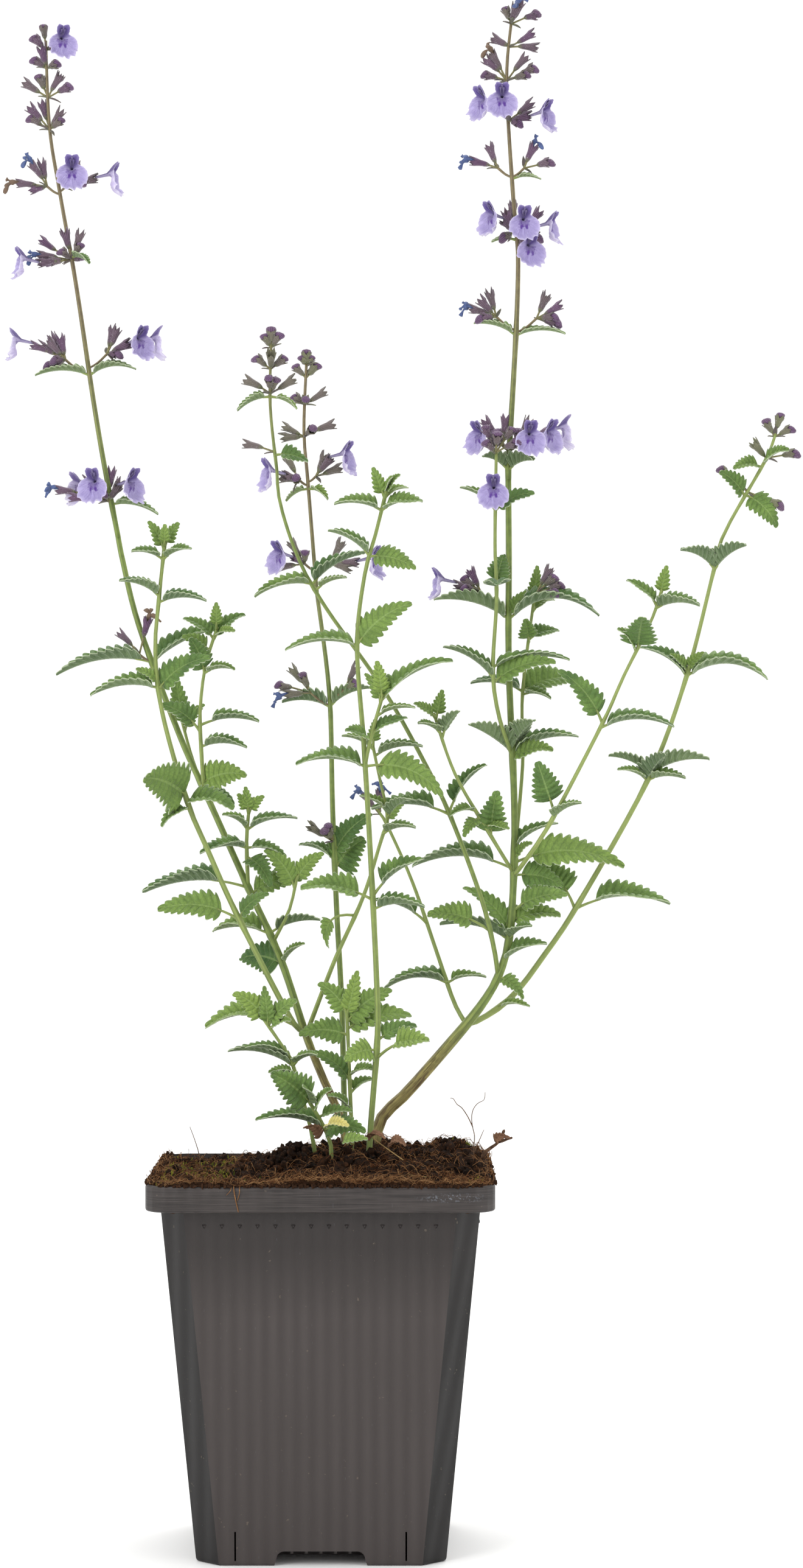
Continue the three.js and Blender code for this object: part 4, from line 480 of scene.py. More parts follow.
# Thin dead shoots that stand out of the mix, and a long straw, drawn.
DEAD_SHOOTS = [
    [(-40, -20, 121), (-40.5, -20, 126), (-42, -20, 131), (-43.5, -20, 135)],
    [(49.2, -12, 122), (49, -12, 128), (49.3, -12, 132), (48.5, -12, 136), (48.6, -12, 140),
     (50.2, -12, 142.6), (52.4, -12, 143.9), (52.7, -12, 146.2)],
    [(48.7, -12, 135), (47.2, -12, 138.2), (45.2, -12, 141.2), (43.6, -12, 142.4),
     (42.4, -12, 144.2), (41.5, -12, 144.4)],
    [(49.3, -12, 127), (51, -12, 131), (52.3, -12, 134)],
]
LONG_STRAW = [(16, -14, 131.5), (20, -26, 128.5), (26, -40, 124.3)]
# Leaves that lie on the mix: the root, the numbers of a leaf from its tip on, and what
# is turned.
LYING_GREEN = [((5, -31, 129.5), (14.5, -35, 131, 5.6, 58, 0.1, 0.08), 58, 1.0, 0.75)]
LYING_YELLOW = [((0, -26, 134.5), (8.5, -30, 135.5, 6, 58, 0.1, 0.12))]
LYING_WITHERED = [
    ((-1, -20, 129), (-6, -26, 135, 4, 80, 0.1, 0.3)),
    ((14, -24, 128.5), (20, -30, 131, 4, 50, 0.1, 0.3)),
    ((21, -20, 127), (27, -27, 129, 4.5, 60, 0.1, 0.3)),
    ((55, -8, 128), (61, -10, 131.5, 3.5, 70, 0.1, 0.3)),
]
MOSS_FLECKS = [(-49, -48), (-20, -47), (50, -44), (50, -46), (46, 10)]

# ------------------------------------------------------------------ small helpers


def linear(code):
    """An sRGB hex colour as the linear values that shaders take."""
    parts = [int(code[i:i + 2], 16) / 255 for i in (1, 3, 5)]
    turned = [c / 12.92 if c <= 0.04045 else ((c + 0.055) / 1.055) ** 2.4 for c in parts]
    return (*turned, 1.0)


def mix(a, b, share):
    return a + (b - a) * share


def smooth(low, high, value):
    """0 below low, 1 above high and a soft step between."""
    t = min(max((value - low) / (high - low), 0.0), 1.0)
    return t * t * (3 - 2 * t)


def along_table(table, x):
    """The value at x in a list of (x, value) steps."""
    if x <= table[0][0]:
        return table[0][1]
    for (x0, y0), (x1, y1) in zip(table, table[1:]):
        if x <= x1:
            return mix(y0, y1, (x - x0) / (x1 - x0))
    return table[-1][1]


# ------------------------------------------------------------------ materials


def feed(finish, socket, value):
    """Links an input to the output of another node, or sets it. A hex code is a colour."""
    if isinstance(value, bpy.types.NodeSocket):
        finish.node_tree.links.new(value, socket)
    else:
        socket.default_value = linear(value) if isinstance(value, str) else value


def add(finish, kind, inputs=(), read=0, **settings):
    """Adds a node with its settings, feeds its inputs in turn or by name, and gives the
    output to read."""
    made = finish.node_tree.nodes.new("ShaderNode" + kind)
    for name, value in settings.items():
        setattr(made, name, value)
    for key, value in inputs.items() if isinstance(inputs, dict) else enumerate(inputs):
        feed(finish, made.inputs[key], value)
    return made.outputs[read]


def finish_of(name, **values):
    """A new material, with the values of its shader that are the same all over."""
    finish = bpy.data.materials.new(name)
    finish.use_nodes = True
    shader = finish.node_tree.nodes["Principled BSDF"]
    for socket, value in values.items():
        feed(finish, shader.inputs[socket.replace("_", " ")], value)
    return finish


def coats(finish, ground, *layers):
    """A colour with others laid over it in turn: each a pattern of shares, how much of
    it counts, and the colour."""
    for share, most, colour in layers:
        if most != 1:
            share = add(finish, "Math", (share, most), operation="MULTIPLY")
        ground = add(finish, "Mix", {0: share, 6: ground, 7: colour}, 2, data_type="RGBA")
    return ground


def surfaced(finish, colour, height=None, depth=0.0, strength=1.0):
    """The material with its colour, and a relief that is so many millimetres deep."""
    shader = finish.node_tree.nodes["Principled BSDF"]
    feed(finish, shader.inputs["Base Color"], colour)
    if height is not None:
        relief = {"Height": height, "Distance": depth * MM, "Strength": strength}
        feed(finish, shader.inputs["Normal"], add(finish, "Bump", relief))
    return finish


def grain(size):
    """The scale of a pattern whose grain is so many millimetres across."""
    return 1 / (size * MM)


def tone_of(finish):
    """The three shares of tone that are laid on a piece's corners."""
    tone = add(finish, "Attribute", attribute_name="tone")
    return add(finish, "SeparateColor", (tone,), slice(3))


def blade_place(finish):
    """Along and across a leaf, petal or stem by its own map, and the map itself."""
    own_map = add(finish, "UVMap", uv_map="blade")
    return (*add(finish, "SeparateXYZ", (own_map,), slice(2)), own_map)


def leaf_finish(name, fresh, deep, young, vein, vein_share, sheen, rough):
    """Living catmint leaf, felted with short hairs: matt, with a pale bloom where the
    surface turns away, and a net of veins."""
    finish = finish_of(
        name, Roughness=rough, IOR=1.42, Specular_IOR_Level=0.3, Sheen_Weight=sheen,
        Sheen_Roughness=0.35, Sheen_Tint="#E4EEDA", Subsurface_Weight=0.1,
        Subsurface_Scale=0.6 * MM, Subsurface_Radius=(0.8, 1.0, 0.3))
    along, across, _ = blade_place(finish)
    youth, dark, _ = tone_of(finish)
    place = add(finish, "TexCoord", read="Object")
    signed = add(finish, "Math", (across, 0.5), operation="SUBTRACT")
    off = add(finish, "Math", (signed,), operation="ABSOLUTE")
    # a side vein to each tooth, slanting towards the tip; the map counts teeth along
    slant = add(finish, "Math", (off, -2 * VEIN_SLANT, VEIN_SLANT - TOOTH_PEAK),
                operation="MULTIPLY_ADD")
    turns = add(finish, "Math", (along, slant), operation="ADD")
    angle = add(finish, "Math", (turns, 2 * math.pi), operation="MULTIPLY")
    wave = add(finish, "Math", (angle,), operation="COSINE")
    nearness = add(finish, "Math", (wave, 0.5, 0.5), operation="MULTIPLY_ADD")
    line = add(finish, "Math", (nearness, 26.0), operation="POWER")
    side_veins = add(finish, "Math", (line, 0.7), operation="MULTIPLY")
    midrib = add(finish, "Math", (off, 0.03), operation="LESS_THAN")
    veins = add(finish, "Math", (side_veins, midrib), operation="MAXIMUM")
    # painted shade: the blade is darkened along the flanks of each side vein, where its sunken
    # grooves lie in shade
    hollow = add(finish, "Math", (nearness, 3.0), operation="POWER")
    groove_shade = add(finish, "Math", (hollow, 0.45), operation="MULTIPLY")
    # the net of the finest veins, drawn coarser than it is, so that it shows
    net = add(finish, "TexVoronoi", {"Vector": place, "Scale": grain(0.6667)})
    cells = add(finish, "Math", (net, 0.5), operation="MULTIPLY")
    # the net of fine veins and the painted groove shade both darken the blade towards the deep
    # green
    creases = add(finish, "Math", (cells, groove_shade), operation="MAXIMUM")
    patch = add(finish, "TexNoise", {"Vector": place, "Scale": grain(5.88), "Detail": 4.0})
    mottle = add(finish, "MapRange", {"Value": patch, "From Min": 0.35, "From Max": 0.65})
    # a pale line along the edge: partly the margin's fine hairs, partly a painted highlight for the
    # bright rim round each blade
    edge_hairs_and_sheen = add(finish, "Math", (off, 0.487), operation="GREATER_THAN")
    colour = coats(finish, deep, (mottle, 1, fresh), (dark, 0.8, deep), (youth, 1, young),
                   (creases, 1, deep), (veins, vein_share, vein), (edge_hairs_and_sheen, 0.55, "#C9D3B4"))
    pitted = add(finish, "Math", (net, 0.45), operation="MULTIPLY")
    height = add(finish, "Math", (veins, -0.9, pitted), operation="MULTIPLY_ADD")
    return surfaced(finish, colour, height, 0.3, 0.8)


def stem_finish():
    """Square green stem, bark-brown where it is oldest and olive-brown in the flower
    spikes; tone: how woody, how brown, brightness."""
    finish = finish_of(
        "Stem_HairyGreenSkin", Roughness=0.6, IOR=1.42, Sheen_Weight=0.3, Sheen_Roughness=0.3,
        Sheen_Tint="#E6EEDC", Subsurface_Weight=0.08, Subsurface_Scale=0.5 * MM)
    _, around, skin = blade_place(finish)
    woody, brown, light = tone_of(finish)
    place = add(finish, "TexCoord", read="Object")
    fine = add(finish, "Mapping", {"Vector": skin, "Scale": (9, 22, 1)})
    streaks = add(finish, "TexNoise", {"Vector": fine, "Scale": 1.0, "Detail": 4.0})
    mottle = add(finish, "TexNoise", {"Vector": place, "Scale": grain(2.38), "Detail": 3.0})
    # the four corners of the stem are paler than its hollowed sides
    turns = add(finish, "Math", (around, 8 * math.pi), operation="MULTIPLY")
    corner = add(finish, "Math", (turns,), operation="COSINE")
    pale = add(finish, "Math", (corner, -0.13, streaks), operation="MULTIPLY_ADD")
    pale = add(finish, "Math", (mottle, 0.5, pale), operation="MULTIPLY_ADD")
    pale = add(finish, "MapRange", {"Value": pale, "From Min": 0.55, "From Max": 1.0})
    broad = add(finish, "Mapping", {"Vector": skin, "Scale": (30, 9, 1)})
    peeling = add(finish, "TexNoise", {"Vector": broad, "Scale": 1.0, "Detail": 6.0})
    peeled = add(finish, "MapRange", {"Value": peeling, "From Min": 0.5, "From Max": 0.57})
    green = coats(finish, "#4A5D2A", (pale, 1, "#7E9048"), (light, 0.7, "#A6B26C"))
    bark = coats(finish, "#75693C", (pale, 1, "#A0945A"), (peeled, 0.75, "#4A3424"))
    spike = coats(finish, "#5A4A3E", (pale, 1, "#8B7C5C"))
    colour = coats(finish, green, (brown, 1, spike), (woody, 1, bark))
    return surfaced(finish, colour, streaks, 0.2, 0.6)


def calyx_finish(name, dark, light, foot):
    """Ribbed calyx, purple-brown under a silvery down, greener at its foot."""
    finish = finish_of(name, Roughness=0.65, IOR=1.42, Specular_IOR_Level=0.3,
                       Sheen_Weight=0.4, Sheen_Roughness=0.3, Sheen_Tint="#E8E0EA")
    along, around, _ = blade_place(finish)
    _, green, chance = tone_of(finish)
    place = add(finish, "TexCoord", read="Object")
    turns = add(finish, "Math", (around, 2 * math.pi * CALYX_RIBS), operation="MULTIPLY")
    wave = add(finish, "Math", (turns,), operation="SINE")
    ribs = add(finish, "Math", (wave, 0.5, 0.5), operation="MULTIPLY_ADD")
    speck = add(finish, "TexNoise", {"Vector": place, "Scale": grain(1.111), "Detail": 2.0})
    faint = add(finish, "Math", (speck, 0.4), operation="MULTIPLY")
    shade = add(finish, "Math", (ribs, 0.5, faint), operation="MULTIPLY_ADD")
    low = add(finish, "Math", (0.3, along), operation="SUBTRACT", use_clamp=True)
    low = add(finish, "Math", (low, 2.4), operation="MULTIPLY", use_clamp=True)
    colour = coats(finish, dark, (shade, 1, light), (chance, 0.3, light), (low, 1, foot),
                   (green, 0.6, foot))
    return surfaced(finish, colour, ribs, 0.18, 0.8)


def petal_finish(name, deep, pale, edge):
    """Thin soft petal: violet above and in the throat, paler and spotted on the lower
    lip. Tone: how pale, how spotted."""
    finish = finish_of(
        name, Roughness=0.5, IOR=1.4, Sheen_Weight=0.3, Sheen_Roughness=0.4,
        Sheen_Tint="#F4F0FA", Subsurface_Weight=0.15, Subsurface_Scale=0.8 * MM,
        Subsurface_Radius=(0.9, 0.8, 1.0))
    along, _, lip = blade_place(finish)
    paleness, spotted, _ = tone_of(finish)
    place = add(finish, "TexCoord", read="Object")
    patch = add(finish, "TexNoise", {"Vector": place, "Scale": grain(2.38), "Detail": 2.0})
    # fine veins that run out along the lips
    fanned = add(finish, "Mapping", {"Vector": lip, "Scale": (4, 44, 1)})
    fine = add(finish, "TexNoise",
               {"Vector": fanned, "Scale": 1.0, "Detail": 4.0, "Roughness": 0.6})
    veins = add(finish, "MapRange", {"Value": fine, "From Min": 0.38, "From Max": 0.62})
    touch = add(finish, "Math", (paleness, 0.3, 0.04), operation="MULTIPLY_ADD")
    bloom = add(finish, "Math", (patch, touch), operation="MULTIPLY")
    rim = add(finish, "Math", (along, 8.0, -6.9), operation="MULTIPLY_ADD", use_clamp=True)
    pale_rim = add(finish, "Math", (paleness, 0.55, 0.08), operation="MULTIPLY_ADD")
    rim = add(finish, "Math", (rim, pale_rim), operation="MULTIPLY")
    cells = add(finish, "TexVoronoi",
                {"Vector": place, "Scale": grain(0.8696), "Randomness": 0.8})
    dots = add(finish, "Math", (cells, 0.36), operation="LESS_THAN")
    dots = add(finish, "Math", (dots, spotted), operation="MULTIPLY")
    blotch = add(finish, "Math", (spotted, 2.4, -1.3), operation="MULTIPLY_ADD",
                 use_clamp=True)
    marks = add(finish, "Math", (dots, blotch), operation="MAXIMUM")
    colour = coats(finish, deep, (paleness, 1, pale), (bloom, 1, edge), (veins, 0.22, deep),
                   (rim, 1, edge), (marks, 1, "#55318C"))
    height = add(finish, "Math", (patch, veins), operation="ADD")
    return surfaced(finish, colour, height, 0.35, 0.7)


def wilted_finish():
    """Dried corolla, shrunk to a dark crumpled twist."""
    finish = finish_of("Corolla_DriedBlue", Roughness=0.75, IOR=1.4, Sheen_Weight=0.2)
    place = add(finish, "TexCoord", read="Object")
    creases = add(finish, "TexNoise", {"Vector": place, "Scale": grain(1.111), "Detail": 4.0})
    colour = coats(finish, "#2C3660", (creases, 1, "#5F72A2"),
                   (tone_of(finish)[2], 1, "#6E5A4A"))
    return surfaced(finish, colour, creases, 0.4)


def down_finish():
    """Fine pale hairs that give calyces and buds their silvery bloom."""
    finish = finish_of("Hair_SilveryDown", Roughness=0.55, IOR=1.45, Sheen_Weight=0.3)
    place = add(finish, "TexCoord", read="Object")
    patch = add(finish, "TexNoise", {"Vector": place, "Scale": grain(0.6667), "Detail": 2.0})
    return surfaced(finish, coats(finish, "#B4AABA", (patch, 1, "#EEEAF0")))


def plastic_finish():
    """Black polypropylene, injection moulded: satin, with faint flutes down its sides,
    fine brushed marks round the rim, a bluish bloom of scuffs and dry dust."""
    finish = finish_of("Pot_BlackPolypropylene", IOR=1.49, Specular_IOR_Level=0.35)
    place = add(finish, "TexCoord", read="Object")
    height = add(finish, "SeparateXYZ", (place,), "Z")
    side = blade_place(finish)[0]
    turns = add(finish, "Math", (side, 2 * math.pi / (FLUTE * MM)), operation="MULTIPLY")
    flute = add(finish, "Math", (turns,), operation="COSINE")
    soft = add(finish, "TexNoise", {"Vector": place, "Scale": grain(38.46), "Detail": 3.0})
    drawn_down = add(finish, "Mapping", {"Vector": place, "Scale": (1, 1, 0.06)})
    streak = add(finish, "TexNoise",
                 {"Vector": drawn_down, "Scale": grain(3.846), "Detail": 4.0})
    drawn_round = add(finish, "Mapping", {"Vector": place, "Scale": (0.022, 0.022, 1)})
    brushed = add(finish, "TexNoise",
                  {"Vector": drawn_round, "Scale": grain(0.4167), "Detail": 4.0})
    # the flutes catch the light more in some places than in others
    crest = add(finish, "Math", (flute, 0.5, 0.5), operation="MULTIPLY_ADD")
    lit = add(finish, "Math", (crest, soft), operation="MULTIPLY")
    # painted shade: the body's cut corners, marked in map_sides, are coloured nearly black
    corner_shade = add(finish, "Attribute", read="Fac", attribute_name="corner_shade")
    on_rim = add(finish, "Math", (height, BODY_TOP * MM), operation="GREATER_THAN")
    strokes = add(finish, "MapRange", {"Value": brushed, "From Min": 0.35, "From Max": 0.65})
    rim_colour = coats(finish, "#211D1C", (strokes, 1, "#3E3836"))
    # painted shadow of the rim: a dark zone under the rim that fades down the side
    below_rim = add(finish, "MapRange", {"Value": height, "From Min": 0.7 * BODY_TOP * MM,
                                         "From Max": 0.9 * BODY_TOP * MM})
    off_rim = add(finish, "Math", (1.0, on_rim), operation="SUBTRACT")
    rim_shadow = add(finish, "Math", (below_rim, off_rim), operation="MULTIPLY")
    # fine upright scratches, dry dust, and a bluish bloom of scuffs at the rim's corner
    scratch = add(finish, "TexVoronoi", {"Vector": drawn_down, "Scale": grain(1.111)})
    scratched = add(finish, "Math", (scratch, 0.045), operation="LESS_THAN")
    dust = add(finish, "TexNoise", {"Vector": place, "Scale": grain(1.613), "Detail": 6.0})
    dusty = add(finish, "Math", (dust, 0.715), operation="GREATER_THAN")
    scuff = add(finish, "TexNoise", {"Vector": place, "Scale": grain(0.5263), "Detail": 3.0})
    scuffed = add(finish, "Math", (scuff, 0.56), operation="GREATER_THAN")
    way = add(finish, "VectorMath", (place, SCUFFS_AT * MM), operation="SUBTRACT")
    way = add(finish, "VectorMath", (way, SCUFFS_FADE / MM), operation="MULTIPLY")
    distance = add(finish, "VectorMath", (way,), "Value", operation="LENGTH")
    near = add(finish, "Math", (1.25, distance), operation="SUBTRACT", use_clamp=True)
    bloom = add(finish, "Math", (near, scuffed), operation="MULTIPLY")
    colour = coats(finish, "#322C2A", (streak, 1, "#3D3735"), (soft, 1, "#383231"),
                   (lit, 0.55, "#4B4543"), (corner_shade, 0.95, "#0C0909"),
                   (on_rim, 0.85, rim_colour), (rim_shadow, 0.6, "#181312"),
                   (scratched, 0.16, "#8A8A92"), (dusty, 0.22, "#8A7A68"),
                   (bloom, 0.35, "#8E96A2"))
    shader = finish.node_tree.nodes["Principled BSDF"]
    feed(finish, shader.inputs["Roughness"],
         add(finish, "Math", (soft, 0.14, 0.4), operation="MULTIPLY_ADD"))
    faint = add(finish, "Math", (streak, 0.3), operation="MULTIPLY")
    bumps = add(finish, "Math", (flute, 0.45, faint), operation="MULTIPLY_ADD")
    rim_bumps = add(finish, "Math", (on_rim, brushed), operation="MULTIPLY")
    bumps = add(finish, "Math", (rim_bumps, 0.5, bumps), operation="MULTIPLY_ADD")
    return surfaced(finish, colour, bumps, 0.4, 0.6)


def ground_finish(name, dark, middle, light, size):
    """Loose plant matter, peat, fibre or bark: matt, dark and uneven."""
    finish = finish_of(name, Roughness=0.95, IOR=1.4, Specular_IOR_Level=0.2)
    place = add(finish, "TexCoord", read="Object")
    patch = add(finish, "TexNoise", {"Vector": place, "Scale": grain(size), "Detail": 6.0,
                                     "Roughness": 0.7})
    brown = add(finish, "MapRange", {"Value": patch, "From Min": 0.3, "From Max": 0.52})
    bright = add(finish, "MapRange", {"Value": patch, "From Min": 0.52, "From Max": 0.72})
    colour = coats(finish, dark, (brown, 1, middle), (bright, 1, light),
                   (tone_of(finish)[2], 0.6, light))
    return surfaced(finish, colour, patch, 1.2)


LEAF = leaf_finish("Leaf_UpperFace", "#73924A", "#3C5B30", "#8FA650", "#94AB68", 0.4,
                   0.25, 0.5)
LEAF_UNDER = leaf_finish("Leaf_FeltedUnderside", "#7D9068", "#566A4C", "#90A066", "#AEBA9C",
                         0.45, 0.3, 0.75)
YELLOWED = leaf_finish("Leaf_Yellowed", "#D2C672", "#ADA050", "#E0D890", "#E8E0A8", 0.3,
                       0.3, 0.6)
STEM = stem_finish()
CALYX = calyx_finish("Calyx_PurpleDowny", "#281828", "#7E6080", "#7F8A58")
CALYX_IN = calyx_finish("Calyx_Inside", "#453042", "#6A5564", "#7C8758")
BUD = calyx_finish("Bud_PurpleFelted", "#3E2640", "#7C6084", "#6A5F56")
PETAL = petal_finish("Petal_VioletFace", "#4E3A7E", "#C2B6E0", "#ECE7F6")
PETAL_BACK = petal_finish("Petal_VioletBack", "#5E4C90", "#A89DCC", "#CBC3E2")
WILTED = wilted_finish()
DOWN = down_finish()
PLASTIC = plastic_finish()
# Peat, coir, moss, bark, straw and dead leaf, each with the size of its grain in mm.
PEAT = ground_finish("PottingMix_Peat", "#070403", "#1A110B", "#5A3A24", 1.0)
COIR = ground_finish("PottingMix_CoirFibre", "#28150A", "#6C4022", "#C89C6C", 1.429)
MOSS = ground_finish("Moss_Tufts", "#2C3812", "#5A6420", "#B2AC40", 1.429)
BARK = ground_finish("DeadTwig_Bark", "#2E211A", "#5B4334", "#8B6E56", 1.25)
STRAW = ground_finish("Straw_Dry", "#6E5636", "#9C7E50", "#C4A874", 1.667)
WITHERED = ground_finish("Leaf_Withered", "#3A281E", "#6A4A38", "#A07C62", 2.0)

# ------------------------------------------------------------------ mesh helpers


def new_mesh():
    """An empty bmesh with the map and the tone that the materials read."""
    bm = bmesh.new()
    bm.loops.layers.uv.new("blade")
    bm.verts.layers.float_color.new("tone")
    return bm


def mesh_of(bm, name):
    """The finished bmesh as a mesh."""
    mesh = bpy.data.meshes.new(name)
    bm.to_mesh(mesh)
    bm.free()
    return mesh


def shown(data, name):
    """A new object in the scene for a mesh, a lamp or the camera."""
    made = bpy.data.objects.new(name, data)
    bpy.context.scene.collection.objects.link(made)
    return made


def stamp(bm, shape, at, tone=None):
    """A copy of a small mesh, put down by a matrix, in its own tone if one is given."""
    copy = shape.copy()
    copy.transform(at)
    if tone:
        corners = copy.attributes["tone"].data
        corners.foreach_set("color", [*tone, 1] * len(corners))
    bm.from_mesh(copy)
    bpy.data.meshes.remove(copy)


def sheet(bm, across, along, spot, material=0, tone=(0, 0, 0), closed=False, count=1):
    """A grid of faces laid out at spot(u, v), where u runs across and v along it. A
    closed one is welded where its sides meet. tone is three shares or their function,
    and count is how many repeats its map has along it."""
    verts = bmesh.ops.create_grid(bm, x_segments=across, y_segments=along, size=1)["verts"]
    uv_layer = bm.loops.layers.uv["blade"]
    tone_layer = bm.verts.layers.float_color["tone"]
    spots = {v: ((v.co.x + 1) / 2, (v.co.y + 1) / 2) for v in verts}
    for face in {f for v in verts for f in v.link_faces}:
        face.material_index = material
        face.smooth = True
        for loop in face.loops:
            u, v = spots[loop.vert]
            loop[uv_layer].uv = (v * count, u)
    for vert in verts:
        u, v = spots[vert]
        vert.co = spot(u, v)
        shares = tone(u, v) if callable(tone) else tone
        vert[tone_layer] = (*shares, 1.0)
    if closed:
        bmesh.ops.remove_doubles(bm, verts=verts, dist=1e-4)


def frames_along(points, guide):
    """A direction along and two square to it at each point, turned as little as can be."""
    frames = []
    across = Vector(guide)
    for k, point in enumerate(points):
        before = points[max(k - 1, 0)]
        after = points[min(k + 1, len(points) - 1)]
        along = (after - before).normalized()
        across = (across - along * across.dot(along)).normalized()
        frames.append((point, across, along.cross(across)))
    return frames


def tube(bm, points, radius, sides=6, material=0, tone=(0, 0, 0), square=0.0, tip=0.3):
    """A tube along points, closed at both ends. radius is a number or a function of the
    share of its length; square swells its four corners."""
    frames = frames_along(points, TUBE_GUIDE)
    last = len(points) - 1

    def spot(u, v):
        k = v * (last + 2) - 1
        at = min(max(round(k), 0), last)
        centre, across, other = frames[at]
        r = radius(at / last) if callable(radius) else radius
        angle = 2 * math.pi * u
        r *= 1 - square * math.cos(4 * angle)
        if k < -0.5 or k > last + 0.5:  # the poles that close its ends
            r = 0.0
        if k > last + 0.5:
            centre = centre + (frames[last][0] - frames[last - 1][0]).normalized() * tip
        return centre + across * (r * math.cos(angle)) + other * (r * math.sin(angle))

    sheet(bm, sides, last + 2, spot, material, tone, closed=True)


def curved(a, b, c, d, t):
    """A share t of the way from b to c, on the smooth curve through a, b, c and d."""
    return 0.5 * (2 * b + (c - a) * t + (2 * a - 5 * b + 4 * c - d) * t * t
                  + (3 * b - a - 3 * c + d) * t ** 3)


def bent(points, steps):
    """A smooth curve through points, as a list of points."""
    out = []
    for k in range(len(points) - 1):
        around = [points[min(max(k + i, 0), len(points) - 1)] for i in (-1, 0, 1, 2)]
        out += [curved(*around, i / steps) for i in range(steps)]
    return [*out, points[-1]]


def finished(bm, name, slot, materials, nodes=(), skin=0.0):
    """Makes the mesh a piece in metres that rides on the plant's one body and stands for
    the given solids. skin gives a sheet its thickness, under its face."""
    bmesh.ops.scale(bm, vec=(MM, MM, MM), verts=bm.verts)
    piece = shown(mesh_of(bm, name), name)
    for material in materials:
        piece.data.materials.append(material)
    if skin:
        solid = piece.modifiers.new("Skin", "SOLIDIFY")
        solid.thickness = skin * MM
        solid.offset = -1
        solid.material_offset = 1
        solid.material_offset_rim = 1
    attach(piece, "root")
    if nodes:
        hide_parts(*nodes)
    return piece


# ------------------------------------------------------------------ the plant's layout

STEMS_BY_NAME = {stem["name"]: stem for stem in STEMS}
for stem in STEMS:
    for shoot in stem.get("shoots", []):
        shoot["host"] = stem["name"]


def place(point):
    """The real place of a point drawn at x, z and set at depth y."""
    x, y, z = point
    spread = (y - STANDPOINT.y) / -STANDPOINT.y
    return Vector((STANDPOINT.x + (x - STANDPOINT.x) * spread, y,
                   STANDPOINT.z + (z - STANDPOINT.z) * spread))


def lean_at(stem, z):
    """How far a stem leans back at a height, with the stem that it grows on."""
    own = STEMS_BY_NAME[stem["host"]] if "host" in stem else stem
    low = own["path"][0][2]
    start = lean_at(STEMS_BY_NAME[own["on"]], low) if "on" in own else 0.0
    return start + own["lean"] * (z - low)


def place_on(stem, point):
    """The real place of a point drawn on a stem or near it."""
    x, y, z = point
    return place((x, y + lean_at(stem, z), z))


def point_at(stem, z):
    """The drawn point of a stem at a height."""
    path = stem["path"]
    for low, high in zip(path, path[1:]):
        if z <= high[2] or high is path[-1]:
            share = (z - low[2]) / (high[2] - low[2])
            return [mix(a, b, share) for a, b in zip(low, high)]


def stem_points(stem, low, high, step=3.0):
    """Real points up a stem between two heights, bent smoothly through its path."""
    inside = [p for p in stem["path"] if low + 0.5 < p[2] < high - 0.5]
    drawn = [point_at(stem, low), *inside, point_at(stem, high)]
    points = []
    curve = bent([Vector(p) for p in drawn], 6)
    for point in curve:
        real = place_on(stem, point)
        if not points or (real - points[-1][1]).length > step or point is curve[-1]:
            points.append((point.z, real))
    return points


def stem_tube(bm, stem, low, high, knots, brightness):
    """The square stem between two heights, a little swollen where leaves stand."""
    points = stem_points(stem, low, high)
    heights = [z for z, _ in points]
    name = stem.get("host", stem.get("name"))

    def girth(share):
        z = heights[round(share * (len(heights) - 1))]
        swell = sum(math.exp(-((z - k) / KNOT_SPREAD) ** 2) for k in knots)
        return 0.47 * along_table(stem["thick"], z) * (1 + 0.16 * min(swell, 1.3))

    def tone(u, v):
        z = heights[min(max(round(v * (len(heights) + 1)) - 1, 0), len(heights) - 1)]
        woody = 1 - smooth(*WOODY, z) if name in ("left", "right") else 0.0
        browned = BROWN_FROM.get(name)
        brown = 0.9 * smooth(browned, browned + 90, z) if browned else 0.0
        return (woody, brown, brightness)

    tube(bm, [p for _, p in points], girth, 12, STEM_SLOT, tone, square=0.13,
         tip=SPIKE_CLEAR / 3)


# ------------------------------------------------------------------ leaves


def outline(u):
    """Half width of a blade at a share of its length: broad near its rounded foot, and
    narrowing to a blunt point."""
    foot = math.sqrt(max(1 - (1 - min(u / 0.17, 1)) ** 2, 0.0))
    return 0.605 * (1 - u) ** 0.6 * foot


